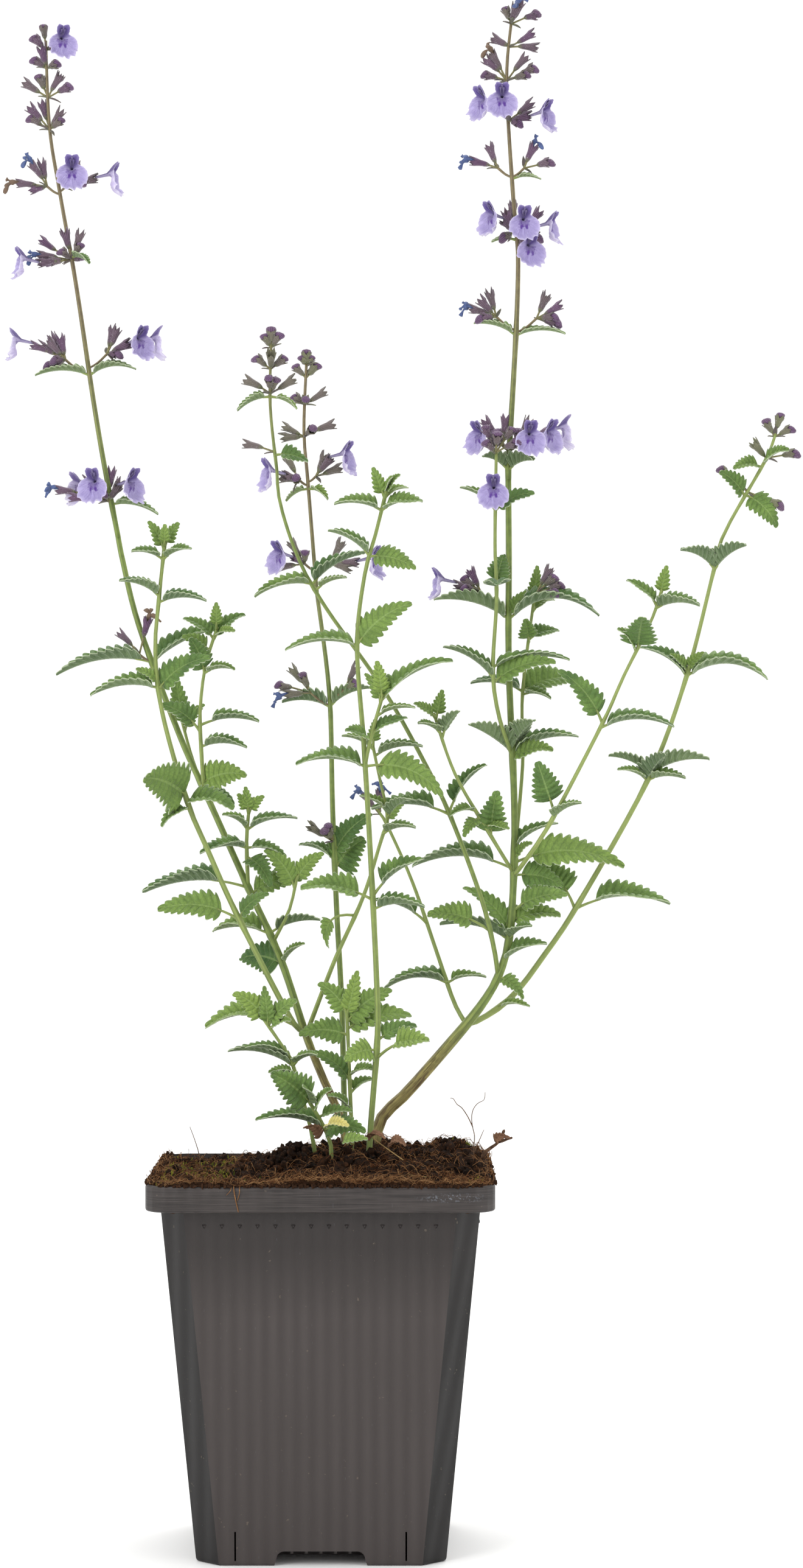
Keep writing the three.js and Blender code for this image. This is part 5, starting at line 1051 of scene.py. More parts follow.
def leaf(bm, stem, entry, rng, roll=None, wider=1.0, fresh=None):
    """A crenate blade folded along its midrib, quilted between its veins and curled down
    a little at its edge. Gives the line of its stalk."""
    height, x, y, z, width = entry[:5]
    roll = entry[5] if roll is None else roll
    share, arch = (*entry[6:], *PLAIN_STALK)[:2]
    start = point_at(stem, height)
    root = place_on(stem, start)
    drawn = math.hypot(x - start[0], z - start[2])
    hidden = math.sqrt(max((BLADE_RATIO * width) ** 2 - drawn ** 2, 0))
    depth = max(abs(y - start[1]), hidden) * (-1 if y < start[1] else 1)
    axis = place_on(stem, (x, start[1] + depth, z)) - root
    length = axis.length
    stalk = max(share, LEAST_STALK / length)
    width *= wider
    along = axis.normalized()
    open_share = smooth(*OPEN_ROLLS, roll)
    lean = math.radians(roll * mix(CLOSED_LEAN, 1, open_share))
    fold = math.radians(mix(*FOLD, open_share) + rng.uniform(-7, 7))
    face = Vector((0, -math.sin(lean), math.cos(lean)))
    up = (face - along * face.dot(along)).normalized()
    side = along.cross(up)
    rise = Vector((0, 0, 1)) - along * along.z
    bow = rise.normalized() if rise.length > 0.4 else up
    curl = rng.uniform(0.02, 0.1)
    wave, shift = rng.uniform(0.02, 0.05), rng.uniform(0, 6.28)
    sway = rng.uniform(-0.05, 0.05)
    teeth = max(5, min(11, round(TEETH_SHARE * math.sqrt((1 - stalk) * length))))

    def centre(t):
        return root + axis * t + bow * (4 * arch * length * t * (1 - t)) \
            + side * (sway * length * t * t)

    def lifted(t):
        return side.cross(centre(t + 0.01) - centre(t - 0.01)).normalized()

    def spot(u, v):
        cross = 2 * u - 1
        t = stalk + (1 - stalk) * v
        far = abs(cross)
        phase = (v * teeth + 1e-6) % 1.0  # each tooth rises slowly and drops behind its tip
        tooth = abs(math.sin(math.pi * phase ** 1.6)) ** 0.65
        half = width * outline(v) * (1 - TOOTH_DEPTH * far ** 3 * (1 - tooth))
        back = 0.07 * (1 - stalk) * far ** 2 * (1 - v) ** 6
        forward = 0.022 * far * v * (1 - v) + 0.16 / teeth * far ** 4 * tooth
        between = 0.5 - 0.5 * math.cos(
            2 * math.pi * (v * teeth - TOOTH_PEAK + VEIN_SLANT * (1 - far)))
        quilt = QUILT * width * between * math.sin(math.pi * min(far * 1.05, 1)) \
            * min(outline(v) * 2, 1)
        rise = quilt - curl * half * far ** 3 * 1.6 \
            + wave * width * far * math.sin(7 * v + shift + (1.5 if cross > 0 else 0))
        flap = math.copysign(1, cross)
        out = side * (flap * math.cos(fold)) + lifted(t) * math.sin(fold)
        over = lifted(t) * math.cos(fold) - side * (flap * math.sin(fold))
        return centre(t - back + forward) + out * (far * half) + over * rise

    young = 0.6 * (1 - smooth(*YOUNG_WIDTHS, width)) + rng.uniform(0, 0.2)
    dark = rng.uniform(0.1, 1.0)
    if fresh is not None:
        young, dark = fresh, 0.5 * dark * (1 - fresh)
    sheet(bm, 10, 6 * teeth, spot, LEAF_SLOT, (young, dark, rng.random()), count=teeth)
    return [centre(stalk * k / 4) for k in range(5)]


def leaf_stalk(bm, points):
    """The short stalk of a leaf, thinner towards the blade."""
    tube(bm, points, lambda s: mix(0.55, 0.38, s), 6, STEM_SLOT, (0, 0, 0.5), tip=0.8)


# ------------------------------------------------------------------ flowers


def frame_along(along):
    """Right and up of a calyx or petal that points along."""
    guide = Vector((0, -1, 0)) if abs(along.z) > 0.95 else Vector((0, 0, 1))
    up = (guide - along * guide.dot(along)).normalized()
    return along.cross(up), up


def one_hair():
    """A pointed hair, one millimetre long, that stands at the origin."""
    bm = new_mesh()
    bmesh.ops.create_cone(bm, cap_ends=True, cap_tris=True, segments=3, radius1=0.034,
                          radius2=0.012, depth=1)
    bmesh.ops.translate(bm, vec=(0, 0, 0.45), verts=bm.verts)
    for face in bm.faces:
        face.material_index = DOWN_SLOT
    return mesh_of(bm, "hair")


HAIR = one_hair()
DOWN_RNG = random.Random("down")


def down(bm, spot, root, along, reach, count):
    """Short pale hairs that stand off a calyx or a bud whose skin is at spot(u, v)."""
    for _ in range(count):
        foot = spot(DOWN_RNG.random(), DOWN_RNG.uniform(0.08, 0.94))
        out = foot - root - along * (foot - root).dot(along)
        if out.length < 0.2:
            continue
        lean = along * DOWN_RNG.uniform(0.1, 0.9) + out.normalized()
        turn = lean.to_track_quat("Z", "Y").to_matrix().to_4x4()
        tall = Matrix.Diagonal((1, 1, reach * DOWN_RNG.uniform(0.5, 1.0), 1))
        stamp(bm, HAIR, Matrix.Translation(foot) @ turn @ tall)


def calyx(blades, axes, root, tip, kind, rng, greener=0.0):
    """A ribbed calyx on its short stalk, with five pointed teeth, and what its mouth
    holds: nothing, a swollen bud or a wilted corolla."""
    reach = (tip - root).length
    along = (tip - root).normalized()
    right, up = frame_along(along)
    neck = max(reach - CALYX_LENGTH, 0.12 * reach)
    body = max(reach - neck, 4.5)
    budding = kind == IN_BUD
    if budding:  # the bud takes the last of the reach
        body -= 2.6
    tooth_length = CALYX_TOOTH * (0.6 if budding else rng.uniform(0.75, 1.15))
    droop = rng.uniform(-0.8, 0.5)
    wide = rng.uniform(1.0, 1.2)

    def spot(u, v):
        angle = 2 * math.pi * u
        tooth = 1 - abs(2 * ((u * 5) % 1.0) - 1)
        forward = neck + body * v * (1 - tooth_length / body)
        if v > 0.99:
            forward += tooth_length * tooth * (1.15 + 0.3 * math.cos(angle))
        radius = wide * along_table(CALYX_SHAPE, v) * (1.0 if v < 0.99 else 1 + 0.12 * tooth)
        radius *= 1 + 0.06 * math.cos(10 * angle)
        bend = up * (droop * v * v)
        return root + along * forward + bend + right * (radius * math.sin(angle)) \
            + up * (radius * math.cos(angle))

    green = rng.uniform(0.1, 0.6) if budding else rng.uniform(0, 0.35)
    sheet(blades, 10, 6, spot, CALYX_SLOT, (0, min(green + greener, 1.0), rng.random()),
          closed=True)
    down(axes, spot, root, along, 0.75, 24)
    tube(axes, [root, root + along * (neck * 0.5), root + along * (neck + 0.4)], 0.34, 6,
         STEM_SLOT, (0, 0.7, 0.4), tip=0.4)
    mouth = root + along * (neck + body - tooth_length - 1.2)
    if budding:
        bud(axes, mouth, along, rng.uniform(4.6, 5.6), rng.uniform(1.4, 1.75),
            (0, rng.uniform(0, 0.3), rng.random()))
    elif kind == WILTED_OUT:
        withered(axes, mouth, along, right, rng)


def bud(axes, root, along, length, radius, tone):
    """A swollen, closed flower bud, shaped like a club that nods."""
    right, up = frame_along(along)

    def spot(u, v):
        angle = 2 * math.pi * u
        r = radius * math.sin(math.pi * v ** 1.35) ** 0.6 * mix(0.75, 1.0, smooth(0, 0.5, v))
        nod = Vector((0, 0, -1.3 * v * v))
        return root + along * (length * v * (1 - 0.12 * v)) + nod \
            + right * (r * math.sin(angle)) \
            + up * (r * math.cos(angle) * (1.1 if math.cos(angle) > 0 else 0.9))

    sheet(axes, 10, 8, spot, BUD_SLOT, tone, closed=True)
    down(axes, spot, root, along, 0.6, 18)


def withered(axes, root, along, right, rng):
    """A shrunken, crumpled corolla that hangs out of its calyx, its lips curled."""
    tone = (0, 0, 1.0 if rng.random() < 0.15 else 0.0)
    phase = rng.uniform(0, 6)
    end = root + along * 4.6 + Vector((0, 0, -0.5))
    points = [root, root + along * 1.6, root + along * 3.2 + Vector((0, 0, -0.1)), end]
    tube(axes, bent(points, 3),
         lambda s: (0.5 + 0.35 * s) * (1 + 0.2 * math.sin(11 * s + phase)),
         8, WILTED_SLOT, tone, square=0.15)
    for drop, spread, length in ((-1, 0.5, 3.6), (-0.5, -0.8, 2.6), (0.7, 0.2, 2.2)):
        way = (along * 0.7 + Vector((0, 0, drop)) + right * spread * rng.uniform(0.6, 1.3))
        way.normalize()
        bend = right * rng.uniform(-0.8, 0.8) + Vector((0, 0, -0.7))
        curl = [end - along * 0.6, end + way * (0.45 * length), end + way * length + bend]
        tube(axes, bent(curl, 4), lambda s, p=phase + length: (
            0.55 + 0.35 * math.sin(7 * s + p) * (1 - 0.4 * s)), 7, WILTED_SLOT, tone,
            square=0.3)


def limb_point(side, t):
    """Radius and forward reach of the limb at an angle from the top and a share out."""
    for (a, low), (b, high) in zip(LIMB, LIMB[1:]):
        if side <= b:
            share = smooth(a, b, side)
            points = [[mix(p, q, share) for p, q in zip(m, n)] for m, n in zip(low, high)]
            break
    k = min(int(t * 3), 2)
    around = [points[min(max(k + i, 0), 3)] for i in (-1, 0, 1, 2)]
    return [curved(*four, t * 3 - k) for four in zip(*around)]


def corolla_mesh(bm, to_row, rng):
    """A two-lipped corolla: a slender tube that widens to the throat, a hooded upper lip
    with two lobes, and a broad, frilled lower lip hollowed like a scoop."""
    wave = rng.uniform(0, 6)
    stretch = rng.uniform(0.93, 1.03)
    tilt = rng.uniform(-0.5, 0.5)

    def spot(u, v):
        angle = 360 * u
        side = min(angle, 360 - angle)
        a = math.radians(angle)
        if v <= THROAT_FROM:
            t = v / THROAT_FROM
            end, start_y = limb_point(side, 0)
            y = mix(-TUBE_LENGTH, start_y, t)
            radius, drop = mix(0.42, end, t ** 1.5), mix(1.0, 0.2, t)
        else:
            t = (v - THROAT_FROM) / (1 - THROAT_FROM)
            radius, y = limb_point(side, t)
            frill = smooth(112, 132, side) * t ** 3  # round the edge of the lower lip
            radius *= 1 + (stretch - 1) * t
            radius *= 1 + frill * (0.1 * abs(math.sin(8 * a + wave)) - 0.05
                                   + 0.045 * math.sin(21 * a + 2 * wave))
            y += frill * (0.6 * math.sin(8 * a + wave) + 0.45 * math.sin(17 * a))
            y += 0.14 * math.sin(9 * a + wave) * t * t
            drop = mix(0.2, 0.0, t)
        return to_row(Vector((radius * math.sin(a) + tilt * 0.1 * max(y, 0), y,
                              radius * math.cos(a) - drop)))

    def tone(u, v):
        side = 360 * min(u, 1 - u)
        t = max(v - THROAT_FROM, 0) / (1 - THROAT_FROM)
        low = smooth(46, 84, side)
        pale = mix(0.04, 0.9, low) * smooth(-0.8, 0.3, t) + 0.15 * smooth(0.6, 1.0, t)
        blotch = math.exp(-((side - 162) / 9) ** 2 - ((t - 0.42) / 0.09) ** 2)
        dots = 0.75 * smooth(0.02, 0.1, t) * (1 - smooth(0.34, 0.5, t)) * smooth(70, 110, side)
        return (min(pale, 1.0), min(blotch + dots, 1.0), 0.2 + 0.6 * smooth(0.75, 1.0, t))

    sheet(bm, 60, 18, spot, 0, tone, closed=True)


def stamens(bm, to_row):
    """The style and the anthers under the hood of the upper lip."""
    for x, top, reach in ((-0.5, 2.6, 0.7), (0.5, 2.7, 0.6), (0, 3.3, 1.3)):
        points = [(x * 0.6, -2.0, 0.3), (x, -0.9, 1.4),
                  (x, -0.2 + reach * 0.4, top - 0.8), (x, reach, top)]
        tube(bm, [to_row(Vector(p)) for p in points], lambda s: 0.2 + 0.2 * (s > 0.9), 5, 0,
             (0.2, 0.5, 0.9))


def bract(blades, root, direction, length, rng):
    """A small narrow leaf under a calyx."""
    along = direction.normalized()
    right, up = frame_along(along)
    wide = length * rng.uniform(0.13, 0.2)

    def spot(u, v):
        cross = 2 * u - 1
        half = wide * math.sin(math.pi * v ** 0.7) ** 0.8
        return root + along * (length * v) + right * (cross * half) \
            + up * (0.3 * half * abs(cross) + 0.15 * length * v * (1 - v))

    sheet(blades, 2, 4, spot, CALYX_SLOT, (0, rng.uniform(0.3, 0.9), rng.random()))

# ------------------------------------------------------------------ dressing the plant

LEAFY = [LEAF, LEAF_UNDER, CALYX, CALYX_IN]
AXIS = [STEM, BUD, WILTED, DOWN]
PETALS = [PETAL, PETAL_BACK, STRAW]


def heart_of(stem, where):
    """Whether a whorl's point stands off its stem, and that point as drawn."""
    fanned = isinstance(where, list)
    return fanned, where if fanned else point_at(stem, where)


def dress_whorl(axes, blades, stem, whorl, rng):
    """A cyme: its stalk, the bracts at the fan point, and its calyces."""
    where, tips, mouths = whorl
    fanned, drawn = heart_of(stem, where)
    heart = place_on(stem, drawn)
    if fanned:
        near = point_at(stem, drawn[2])
        start = place_on(stem, point_at(stem, drawn[2] - 0.7 * abs(drawn[0] - near[0])))
        middle = (start + heart) / 2 + Vector((0, 0, -0.25 * (heart - start).length * 0.3))
        tube(axes, bent([start, middle, heart], 3), lambda s: mix(0.38, 0.48, s), 6,
             STEM_SLOT, (0, 0.9, 0.1), tip=0.4)
    aims = [place_on(stem, tip[:3]) for tip in tips]
    for tip, aim in zip(tips, aims):
        calyx(blades, axes, heart, aim, tip[3], rng, SPIKE_GREEN.get(stem.get("name"), 0.0))
    for x, y, z, turn in mouths:
        angle = math.radians(turn)
        faced = Vector((math.sin(angle), -math.cos(angle), 0))
        aim = place_on(stem, (x, y, z)) + faced * (SEAT - TUBE_LENGTH)
        aim.z -= CALYX_DROP
        calyx(blades, axes, heart, aim, EMPTY, rng)
        aims.append(aim)
    for aim in aims[:4]:
        astray = Vector((rng.uniform(-0.7, 0.7), rng.uniform(-0.7, 0.7),
                         rng.uniform(-0.9, -0.1)))
        bract(blades, heart, (aim - heart).normalized() + astray, rng.uniform(3, 4.6), rng)


def dress_stem(stem):
    """The green part of a stem with its shoots, and its flower spike if it has one."""
    name = stem["name"]
    rng = random.Random(name)
    split = stem.get("spike_from", stem["path"][-1][2])
    green, purple = (new_mesh(), new_mesh()), (new_mesh(), new_mesh())
    carried = [(stem, stem["leaves"] + SMALL_LEAVES.get(name, []), TURNED.get(name, {}),
                split, STEM_BRIGHTNESS.get(name, 0.5))]
    for index, shoot in enumerate(stem.get("shoots", [])):
        key = (name, index)
        carried.append((shoot, shoot["leaves"] + SHOOT_LEAVES.get(key, []),
                        TURNED.get(key, {}), shoot["path"][-1][2], 0.5))
    for own, leaves, turned, cut, bright in carried:
        knots = sorted({round(entry[0]) for entry in leaves})
        foot, top = own["path"][0][2], own["path"][-1][2]
        stem_tube(green[0], own, foot, cut, knots, bright)
        if cut < top:
            stem_tube(purple[0], own, cut + SPIKE_CLEAR, top, knots, bright)
        for index, entry in enumerate(leaves):
            axes, blades = purple if entry[0] > cut else green
            leaf_stalk(axes, leaf(blades, own, entry, rng, *turned.get(index, ())))
        for whorl in own.get("whorls", []):
            height = heart_of(own, whorl[0])[1][2]
            dress_whorl(*(purple if height > cut else green), own, whorl, rng)
    for where, tips in MORE_CALYCES.get(name, []):
        drawn = heart_of(stem, where)[1]
        axes, blades = purple if drawn[2] > split else green
        for tip in tips:
            calyx(blades, axes, place_on(stem, drawn), place_on(stem, tip[:3]), tip[3], rng,
                  SPIKE_GREEN.get(name, 0.0))
    for (axes, blades), node, slot in ((green, "stem_" + name, "leaf"),
                                       (purple, "spike_" + name, "calyx")):
        if axes.verts:
            finished(axes, node + "_axis", slot, AXIS, [node])
            finished(blades, node + "_foliage", slot, LEAFY, [node], skin=LEAF_THICKNESS)


def dress_corolla(name, rng, middle, turn):
    """An open flower with its stamens, in its place before its calyx."""
    turned = Matrix.Rotation(math.radians(180 + turn), 3, "Z")

    def to_row(v):
        return turned @ v + middle

    petals, inner = new_mesh(), new_mesh()
    corolla_mesh(petals, to_row, rng)
    finished(petals, name + "_petals", "corolla", PETALS, [name], skin=PETAL_THICKNESS)
    stamens(inner, to_row)
    finished(inner, name + "_stamens", "corolla", PETALS)


for stem in STEMS:
    if "dead" not in stem:
        dress_stem(stem)
count = 0
for stem in STEMS:
    for own in [stem, *stem.get("shoots", [])]:
        for _, _, mouths in own.get("whorls", []):
            for x, y, z, turn in mouths:
                count += 1
                dress_corolla(f"corolla_{stem['name']}_{count}", random.Random(count),
                              place_on(stem, (x, y, z)), turn)


# ------------------------------------------------------------------ the dead twig

twig = new_mesh()
dead = STEMS_BY_NAME["dead_twig"]
for branch in [dead, *dead["shoots"]]:
    route = stem_points(branch, branch["path"][0][2], branch["path"][-1][2], 1.2)
    knobbly = random.Random(branch["path"][0][0])
    bumps = [along_table(branch["thick"], z) * 0.5 * knobbly.uniform(0.8, 1.25)
             for z, _ in route]
    tube(twig, [p for _, p in route], lambda s, b=bumps: b[round(s * (len(b) - 1))], 7,
         tone=(0, 0, 0.3))
finished(twig, "dead_twig_bark", "dead_wood", [BARK], ["dead_twig"])


# ------------------------------------------------------------------ the potting mix


def mix_height(x, y):
    """Height of the mix: heaped round the stems, brimful at the front and the sides, with
    a rough, crumbly skin."""
    z = MIX_LEVEL
    for top, cx, cy, sx, sy in HEAPS:
        z += top * math.exp(-((x - cx) / sx) ** 2 - ((y - cy) / sy) ** 2)
    coarse = noise.noise(Vector((x, y, 3)) * 0.11)
    fine = noise.noise(Vector((x, y, 9)) * 0.42)
    grit = noise.noise(Vector((x, y, 5)) * 1.3)
    full = max(smooth(-38, -50, y) if y < -38 else 0, smooth(44, 52, abs(x)))
    sunk = smooth(20, 46, y) * smooth(8, -12, x)  # lower at the back left
    z -= 2.2 * sunk
    full *= 1 - sunk
    return z + 1.6 * coarse + 1.1 * fine + 0.5 * grit + 0.7 * full


def over_corner(x, y, inner):
    """How far a point is past the straight part of a rounded square, each way."""
    over_x, over_y = abs(x) - inner, abs(y) - inner
    return (over_x, over_y) if over_x > 0 and over_y > 0 else (0, 0)


def drawn_in(x, y, inner, reach=None):
    """A point moved in until it lies within reach of the corner's centre, or, without a
    reach, so that a square corner becomes a round one."""
    over = over_corner(x, y, inner)
    far = math.hypot(*over)
    if far and (reach is None or far > reach):
        squeeze = (reach or max(over)) / far
        x = math.copysign(inner + over[0] * squeeze, x)
        y = math.copysign(inner + over[1] * squeeze, y)
    return x, y


def mix_skin():
    """The mix's surface, with a skirt down inside the rim."""
    bm = new_mesh()
    inner = MIX_HALF - (RIM_CORNER - WALL - CLEAR)

    def spot(u, v):
        x, y = drawn_in(MIX_HALF * (2 * u - 1), MIX_HALF * (2 * v - 1), inner)
        return Vector((x, y, mix_height(x, y)))

    def tone(u, v):
        return (0, 0, 0.25 + 0.5 * smooth(0.12, 0.0, v))

    sheet(bm, 84, 84, spot, 0, tone)
    border = [e for e in bm.edges if e.is_boundary]
    skirt = bmesh.ops.extrude_edge_only(bm, edges=border)["geom"]
    for vert in [g for g in skirt if isinstance(g, bmesh.types.BMVert)]:
        vert.co = (vert.co.x * 0.9, vert.co.y * 0.9, MIX_LEVEL - SKIRT)
    bmesh.ops.holes_fill(bm, edges=[e for e in bm.edges if e.is_boundary], sides=0)
    bmesh.ops.recalc_face_normals(bm, faces=bm.faces)
    finished(bm, "potting_mix_surface", "peat", [PEAT], ["potting_mix"])


def lumps(rng, level, count=8):
    """A few ragged lumps of one size, each a ball with its points pushed in and out."""
    made = []
    for _ in range(count):
        lump = new_mesh()
        bmesh.ops.create_icosphere(lump, subdivisions=level, radius=1)
        for vert in lump.verts:
            vert.co *= rng.uniform(0.6, 1.25)
        for face in lump.faces:
            face.smooth = level > 1
        made.append(mesh_of(lump, "lump"))
    return made


def strew(name, shapes, spots):
    """A piece of small shapes, turned and flattened, at (place, sizes, chance) spots."""
    bm = new_mesh()
    rng = random.Random(8)
    for point, sizes, chance in spots:
        shape = rng.choice(shapes)
        turn = Euler([rng.uniform(0, 6) for _ in range(3)]).to_matrix().to_4x4()
        at = Matrix.Translation(point) @ turn @ Matrix.Diagonal((*sizes, 1))
        stamp(bm, shape, at, (0, 0, chance))
    finished(bm, name, "peat", [PEAT])


def crumbs():
    """Loose crumbs and clods of peat over the mix, spilling on to the rim."""
    rng = random.Random(5)
    inner = RIM_HALF - RIM_CORNER
    spots = []
    for _ in range(CRUMBS):
        x, y = rng.uniform(-52, 52), rng.uniform(-52, 52)
        if math.hypot(*over_corner(x, y, inner)) <= 6:
            size = min(0.35 + rng.expovariate(2.0), 1.9)
            spots.append(((x, y, mix_height(x, y) + 0.3 * size),
                          (size, size * rng.uniform(0.4, 1), size * rng.uniform(0.4, 0.8)),
                          rng.random() ** 3))
    for _ in range(RIM_CRUMBS):  # the brimful edge, thickest at the front
        along, out = rng.uniform(-53, 53), RIM_HALF + 0.2 - abs(rng.gauss(0, 1.7))
        x, y = rng.choice(((along, -out), (along, -out), (along, -out), (-out, along),
                           (out, along), (along, out)))
        if math.hypot(*over_corner(x, y, inner)) > 8.6 or (y > 50 and x < 5):
            continue
        size = rng.uniform(0.3, 0.95)
        rise = rng.uniform(0, 1.0) * smooth(0, 3, RIM_HALF + 0.5 - max(abs(x), abs(y)))
        spots.append(((x, y, POT_HEIGHT + 0.15 + rise), (size, size * 0.8, size * 0.5),
                      0.25 + 0.6 * rng.random()))
    strew("peat_crumbs", lumps(rng, 1), spots)
    clods = []
    for _ in range(CLODS):
        x, y = rng.uniform(-26, 51), rng.gauss(-8, 22)
        if abs(y) < 50:
            size = rng.uniform(0.9, 2.3)
            clods.append(((x, y, mix_height(x, y) + 0.35 * size),
                          (size, size * rng.uniform(0.5, 0.9), size * rng.uniform(0.5, 0.8)),
                          0.35 * rng.random()))
    for _ in range(MOUND_CLODS):  # a ragged mound at the left of the stems
        x, y = rng.gauss(-12, 5.5), rng.gauss(-12, 6)
        mound = 5.0 * math.exp(-((x + 12) / 9) ** 2 - ((y + 12) / 9) ** 2)
        size = rng.uniform(0.8, 2.0)
        clods.append(((x, y, mix_height(x, y) + mound * rng.random() ** 0.6 + 0.2 * size),
                      (size, size * rng.uniform(0.5, 0.9), size * rng.uniform(0.5, 0.8)),
                      0.3 * rng.random()))
    strew("peat_clods", lumps(rng, 2), clods)


def fibre(bm, rng, x, y, heading, length, radius, lift, edge=0.0, tone=None):
    """One fibre that lies over the mix; edge lets it reach out over the rim."""
    points = []
    steps = 7
    bound = MIX_HALF - 0.6 + edge
    for k in range(steps + 1):
        heading += rng.uniform(-0.5, 0.5)
        x += math.cos(heading) * length / steps
        y += math.sin(heading) * length / steps
        x, y = max(-bound, min(bound, x)), max(-bound, min(bound, y))
        x, y = drawn_in(x, y, bound - 8, 8)
        under = max(mix_height(x, y), POT_HEIGHT if max(abs(x), abs(y)) > 52 else 0)
        z = under + radius + lift * math.sin(math.pi * k / steps) + rng.uniform(0, 0.5)
        points.append(Vector((x, y, z)))
    points = [p for i, p in enumerate(points) if i == 0 or (p - points[i - 1]).length > 0.05]
    if len(points) > 2:
        tube(bm, points, lambda s: radius * (1 - 0.5 * s), 3, 0, tone or (0, 0, rng.random()))


def fibres():
    """Coir and root fibres tangled through the mix and fringing the rim."""
    bm, fringe = new_mesh(), new_mesh()
    rng = random.Random(17)
    for k in range(FIBRES):
        front = k % 6 == 0
        y = rng.uniform(-52, -38) if front else rng.uniform(-50, 50)
        fibre(bm, rng, rng.uniform(-50, 50), y, rng.uniform(0, 6.28),
              rng.uniform(3, 12), 0.06 + 0.12 * rng.random() ** 2,
              rng.uniform(0, 3.0), tone=(0, 0, rng.random() ** (1.8 if front else 2.5)))
    finished(bm, "coir_fibres", "peat", [COIR])
    for k in range(FRINGE_FIBRES):
        along, out = rng.uniform(-52, 52), RIM_HALF - 0.6 - abs(rng.gauss(0, 2.2))
        side = k % 5  # three fifths of them at the front
        x, y = ((along, -out), (along, -out), (-out, along), (along, -out), (out, along))[side]
        heading = rng.gauss(0, 0.7) + (math.pi / 2 if side in (2, 4) else 0)
        fibre(fringe, rng, x, y, heading, rng.uniform(3, 9), rng.uniform(0.06, 0.13),
              rng.uniform(0, 1.8), rng.uniform(0.6, 2.4), (0, 0, rng.random() ** 1.6))
    finished(fringe, "rim_fibres", "peat", [COIR])


def moss():
    """Low tufts of moss at the left of the mix, and a few green flecks elsewhere."""
    bm = new_mesh()
    rng = random.Random(23)
    for _ in range(MOSS_TUFTS):
        if rng.random() < 0.72:
            x, y = rng.uniform(-51, -28), rng.uniform(-48, 30)
        else:
            x, y = rng.choice(MOSS_FLECKS)
            x, y = x + rng.gauss(0, 2.0), y + rng.gauss(0, 2.0)
        bare = noise.noise(Vector((x, y, 1)) * 0.12) < -0.05
        if bare or abs(x) > 51 or abs(y) > 51:
            continue
        root = Vector((x, y, mix_height(x, y) - 0.2))
        tip = root + Vector((rng.uniform(-0.8, 0.8), rng.uniform(-0.8, 0.8),
                             rng.uniform(0.7, 1.7)))
        tube(bm, [root, (root + tip) / 2, tip], lambda s: 0.34 * (1 - 0.6 * s), 4, 0,
             (0, 0, rng.random() ** 2 if abs(x) < 47 else rng.uniform(0.6, 1)))
    finished(bm, "moss_tufts", "peat", [MOSS])


def thin_twigs():
    """Thin dead shoots that stand out of the mix, and straw that lies on it."""
    shoots, straw = new_mesh(), new_mesh()
    rng = random.Random(31)
    for route in DEAD_SHOOTS:
        tube(shoots, bent([place(p) for p in route], 3), lambda s: mix(0.2, 0.1, s), 5, 0,
             (0, 0, rng.uniform(0.5, 1)))
    finished(shoots, "thin_dead_shoots", "dead_wood", [BARK])
    tube(straw, bent([place(p) for p in LONG_STRAW], 4), 0.2, 6, 0, (0, 0, 0.2))
    for x, y, heading, length in ((-20, -46, 0.5, 9), (36, -44, 2.6, 11), (-5, -49, 0.1, 7)):
        fibre(straw, rng, x, y, heading, length, 0.24, 0.8)
    finished(straw, "straw_bits", "dead_wood", [STRAW])


def hanging_rootlets():
    """Rootlets that creep over the front of the rim and hang down it."""
    bm = new_mesh()
    face = -RIM_WIDTH / 2 - 0.35
    for x, low, drift, radius in ((-26.6, 113.6, 1.2, 0.26), (-24.8, 117.2, -0.8, 0.18),
                                  (-27.4, 118.8, -1.6, 0.15)):
        points = [(x + 2, -46, mix_height(x + 2, -46) + 0.2), (x + 1, -51, MIX_LEVEL + 0.6),
                  (x, -53.6, POT_HEIGHT + 0.5), (x - 0.2, face - 0.2, POT_HEIGHT - 0.4),
                  (x + 0.3 * drift, face, mix(POT_HEIGHT, low, 0.5)),
                  (x + drift, face + 0.05, low)]
        tube(bm, bent([Vector(p) for p in points], 3),
             lambda s, r=radius: r * (1 - 0.4 * s), 5, 0, (0, 0, 0.4))
    finished(bm, "hanging_rootlets", "dead_wood", [COIR])


def fallen_leaves():
    """Leaves that lie on the mix: a fresh one, a yellow one, and brown withered curls."""
    rng = random.Random(41)
    for name, slot, face, under, lying in (
            ("lying_leaf", "leaf", LEAF, LEAF_UNDER, LYING_GREEN),
            ("yellow_leaf", "leaf", YELLOWED, YELLOWED, LYING_YELLOW),
            ("withered_leaves", "dead_wood", WITHERED, WITHERED, LYING_WITHERED)):
        bm = new_mesh()
        for (x, y, z), shape, *turned in lying:
            root = {"name": name, "lean": 0.0, "path": [[x, y, z], [x, y, z + 1]]}
            leaf(bm, root, [z, *shape], rng, *turned)
        finished(bm, name, slot, [face, under], skin=LEAF_THICKNESS)


mix_skin()
crumbs()
fibres()
moss()
thin_twigs()
hanging_rootlets()
fallen_leaves()


# ------------------------------------------------------------------ the pot


def block(width_x, width_y, low, high, y=0.0, x=0.0, bm=None):
    """A plain block to shape further, from low to high."""
    bm = bm or new_mesh()
    made = bmesh.ops.create_cube(bm, size=1)["verts"]
    bmesh.ops.scale(bm, vec=(width_x, width_y, high - low), verts=made)
    bmesh.ops.translate(bm, vec=(x, y, (low + high) / 2), verts=made)
    return bm


def upright(edge):
    a, b = edge.verts
    return abs(a.co.z - b.co.z) > 0.7 * (a.co - b.co).length


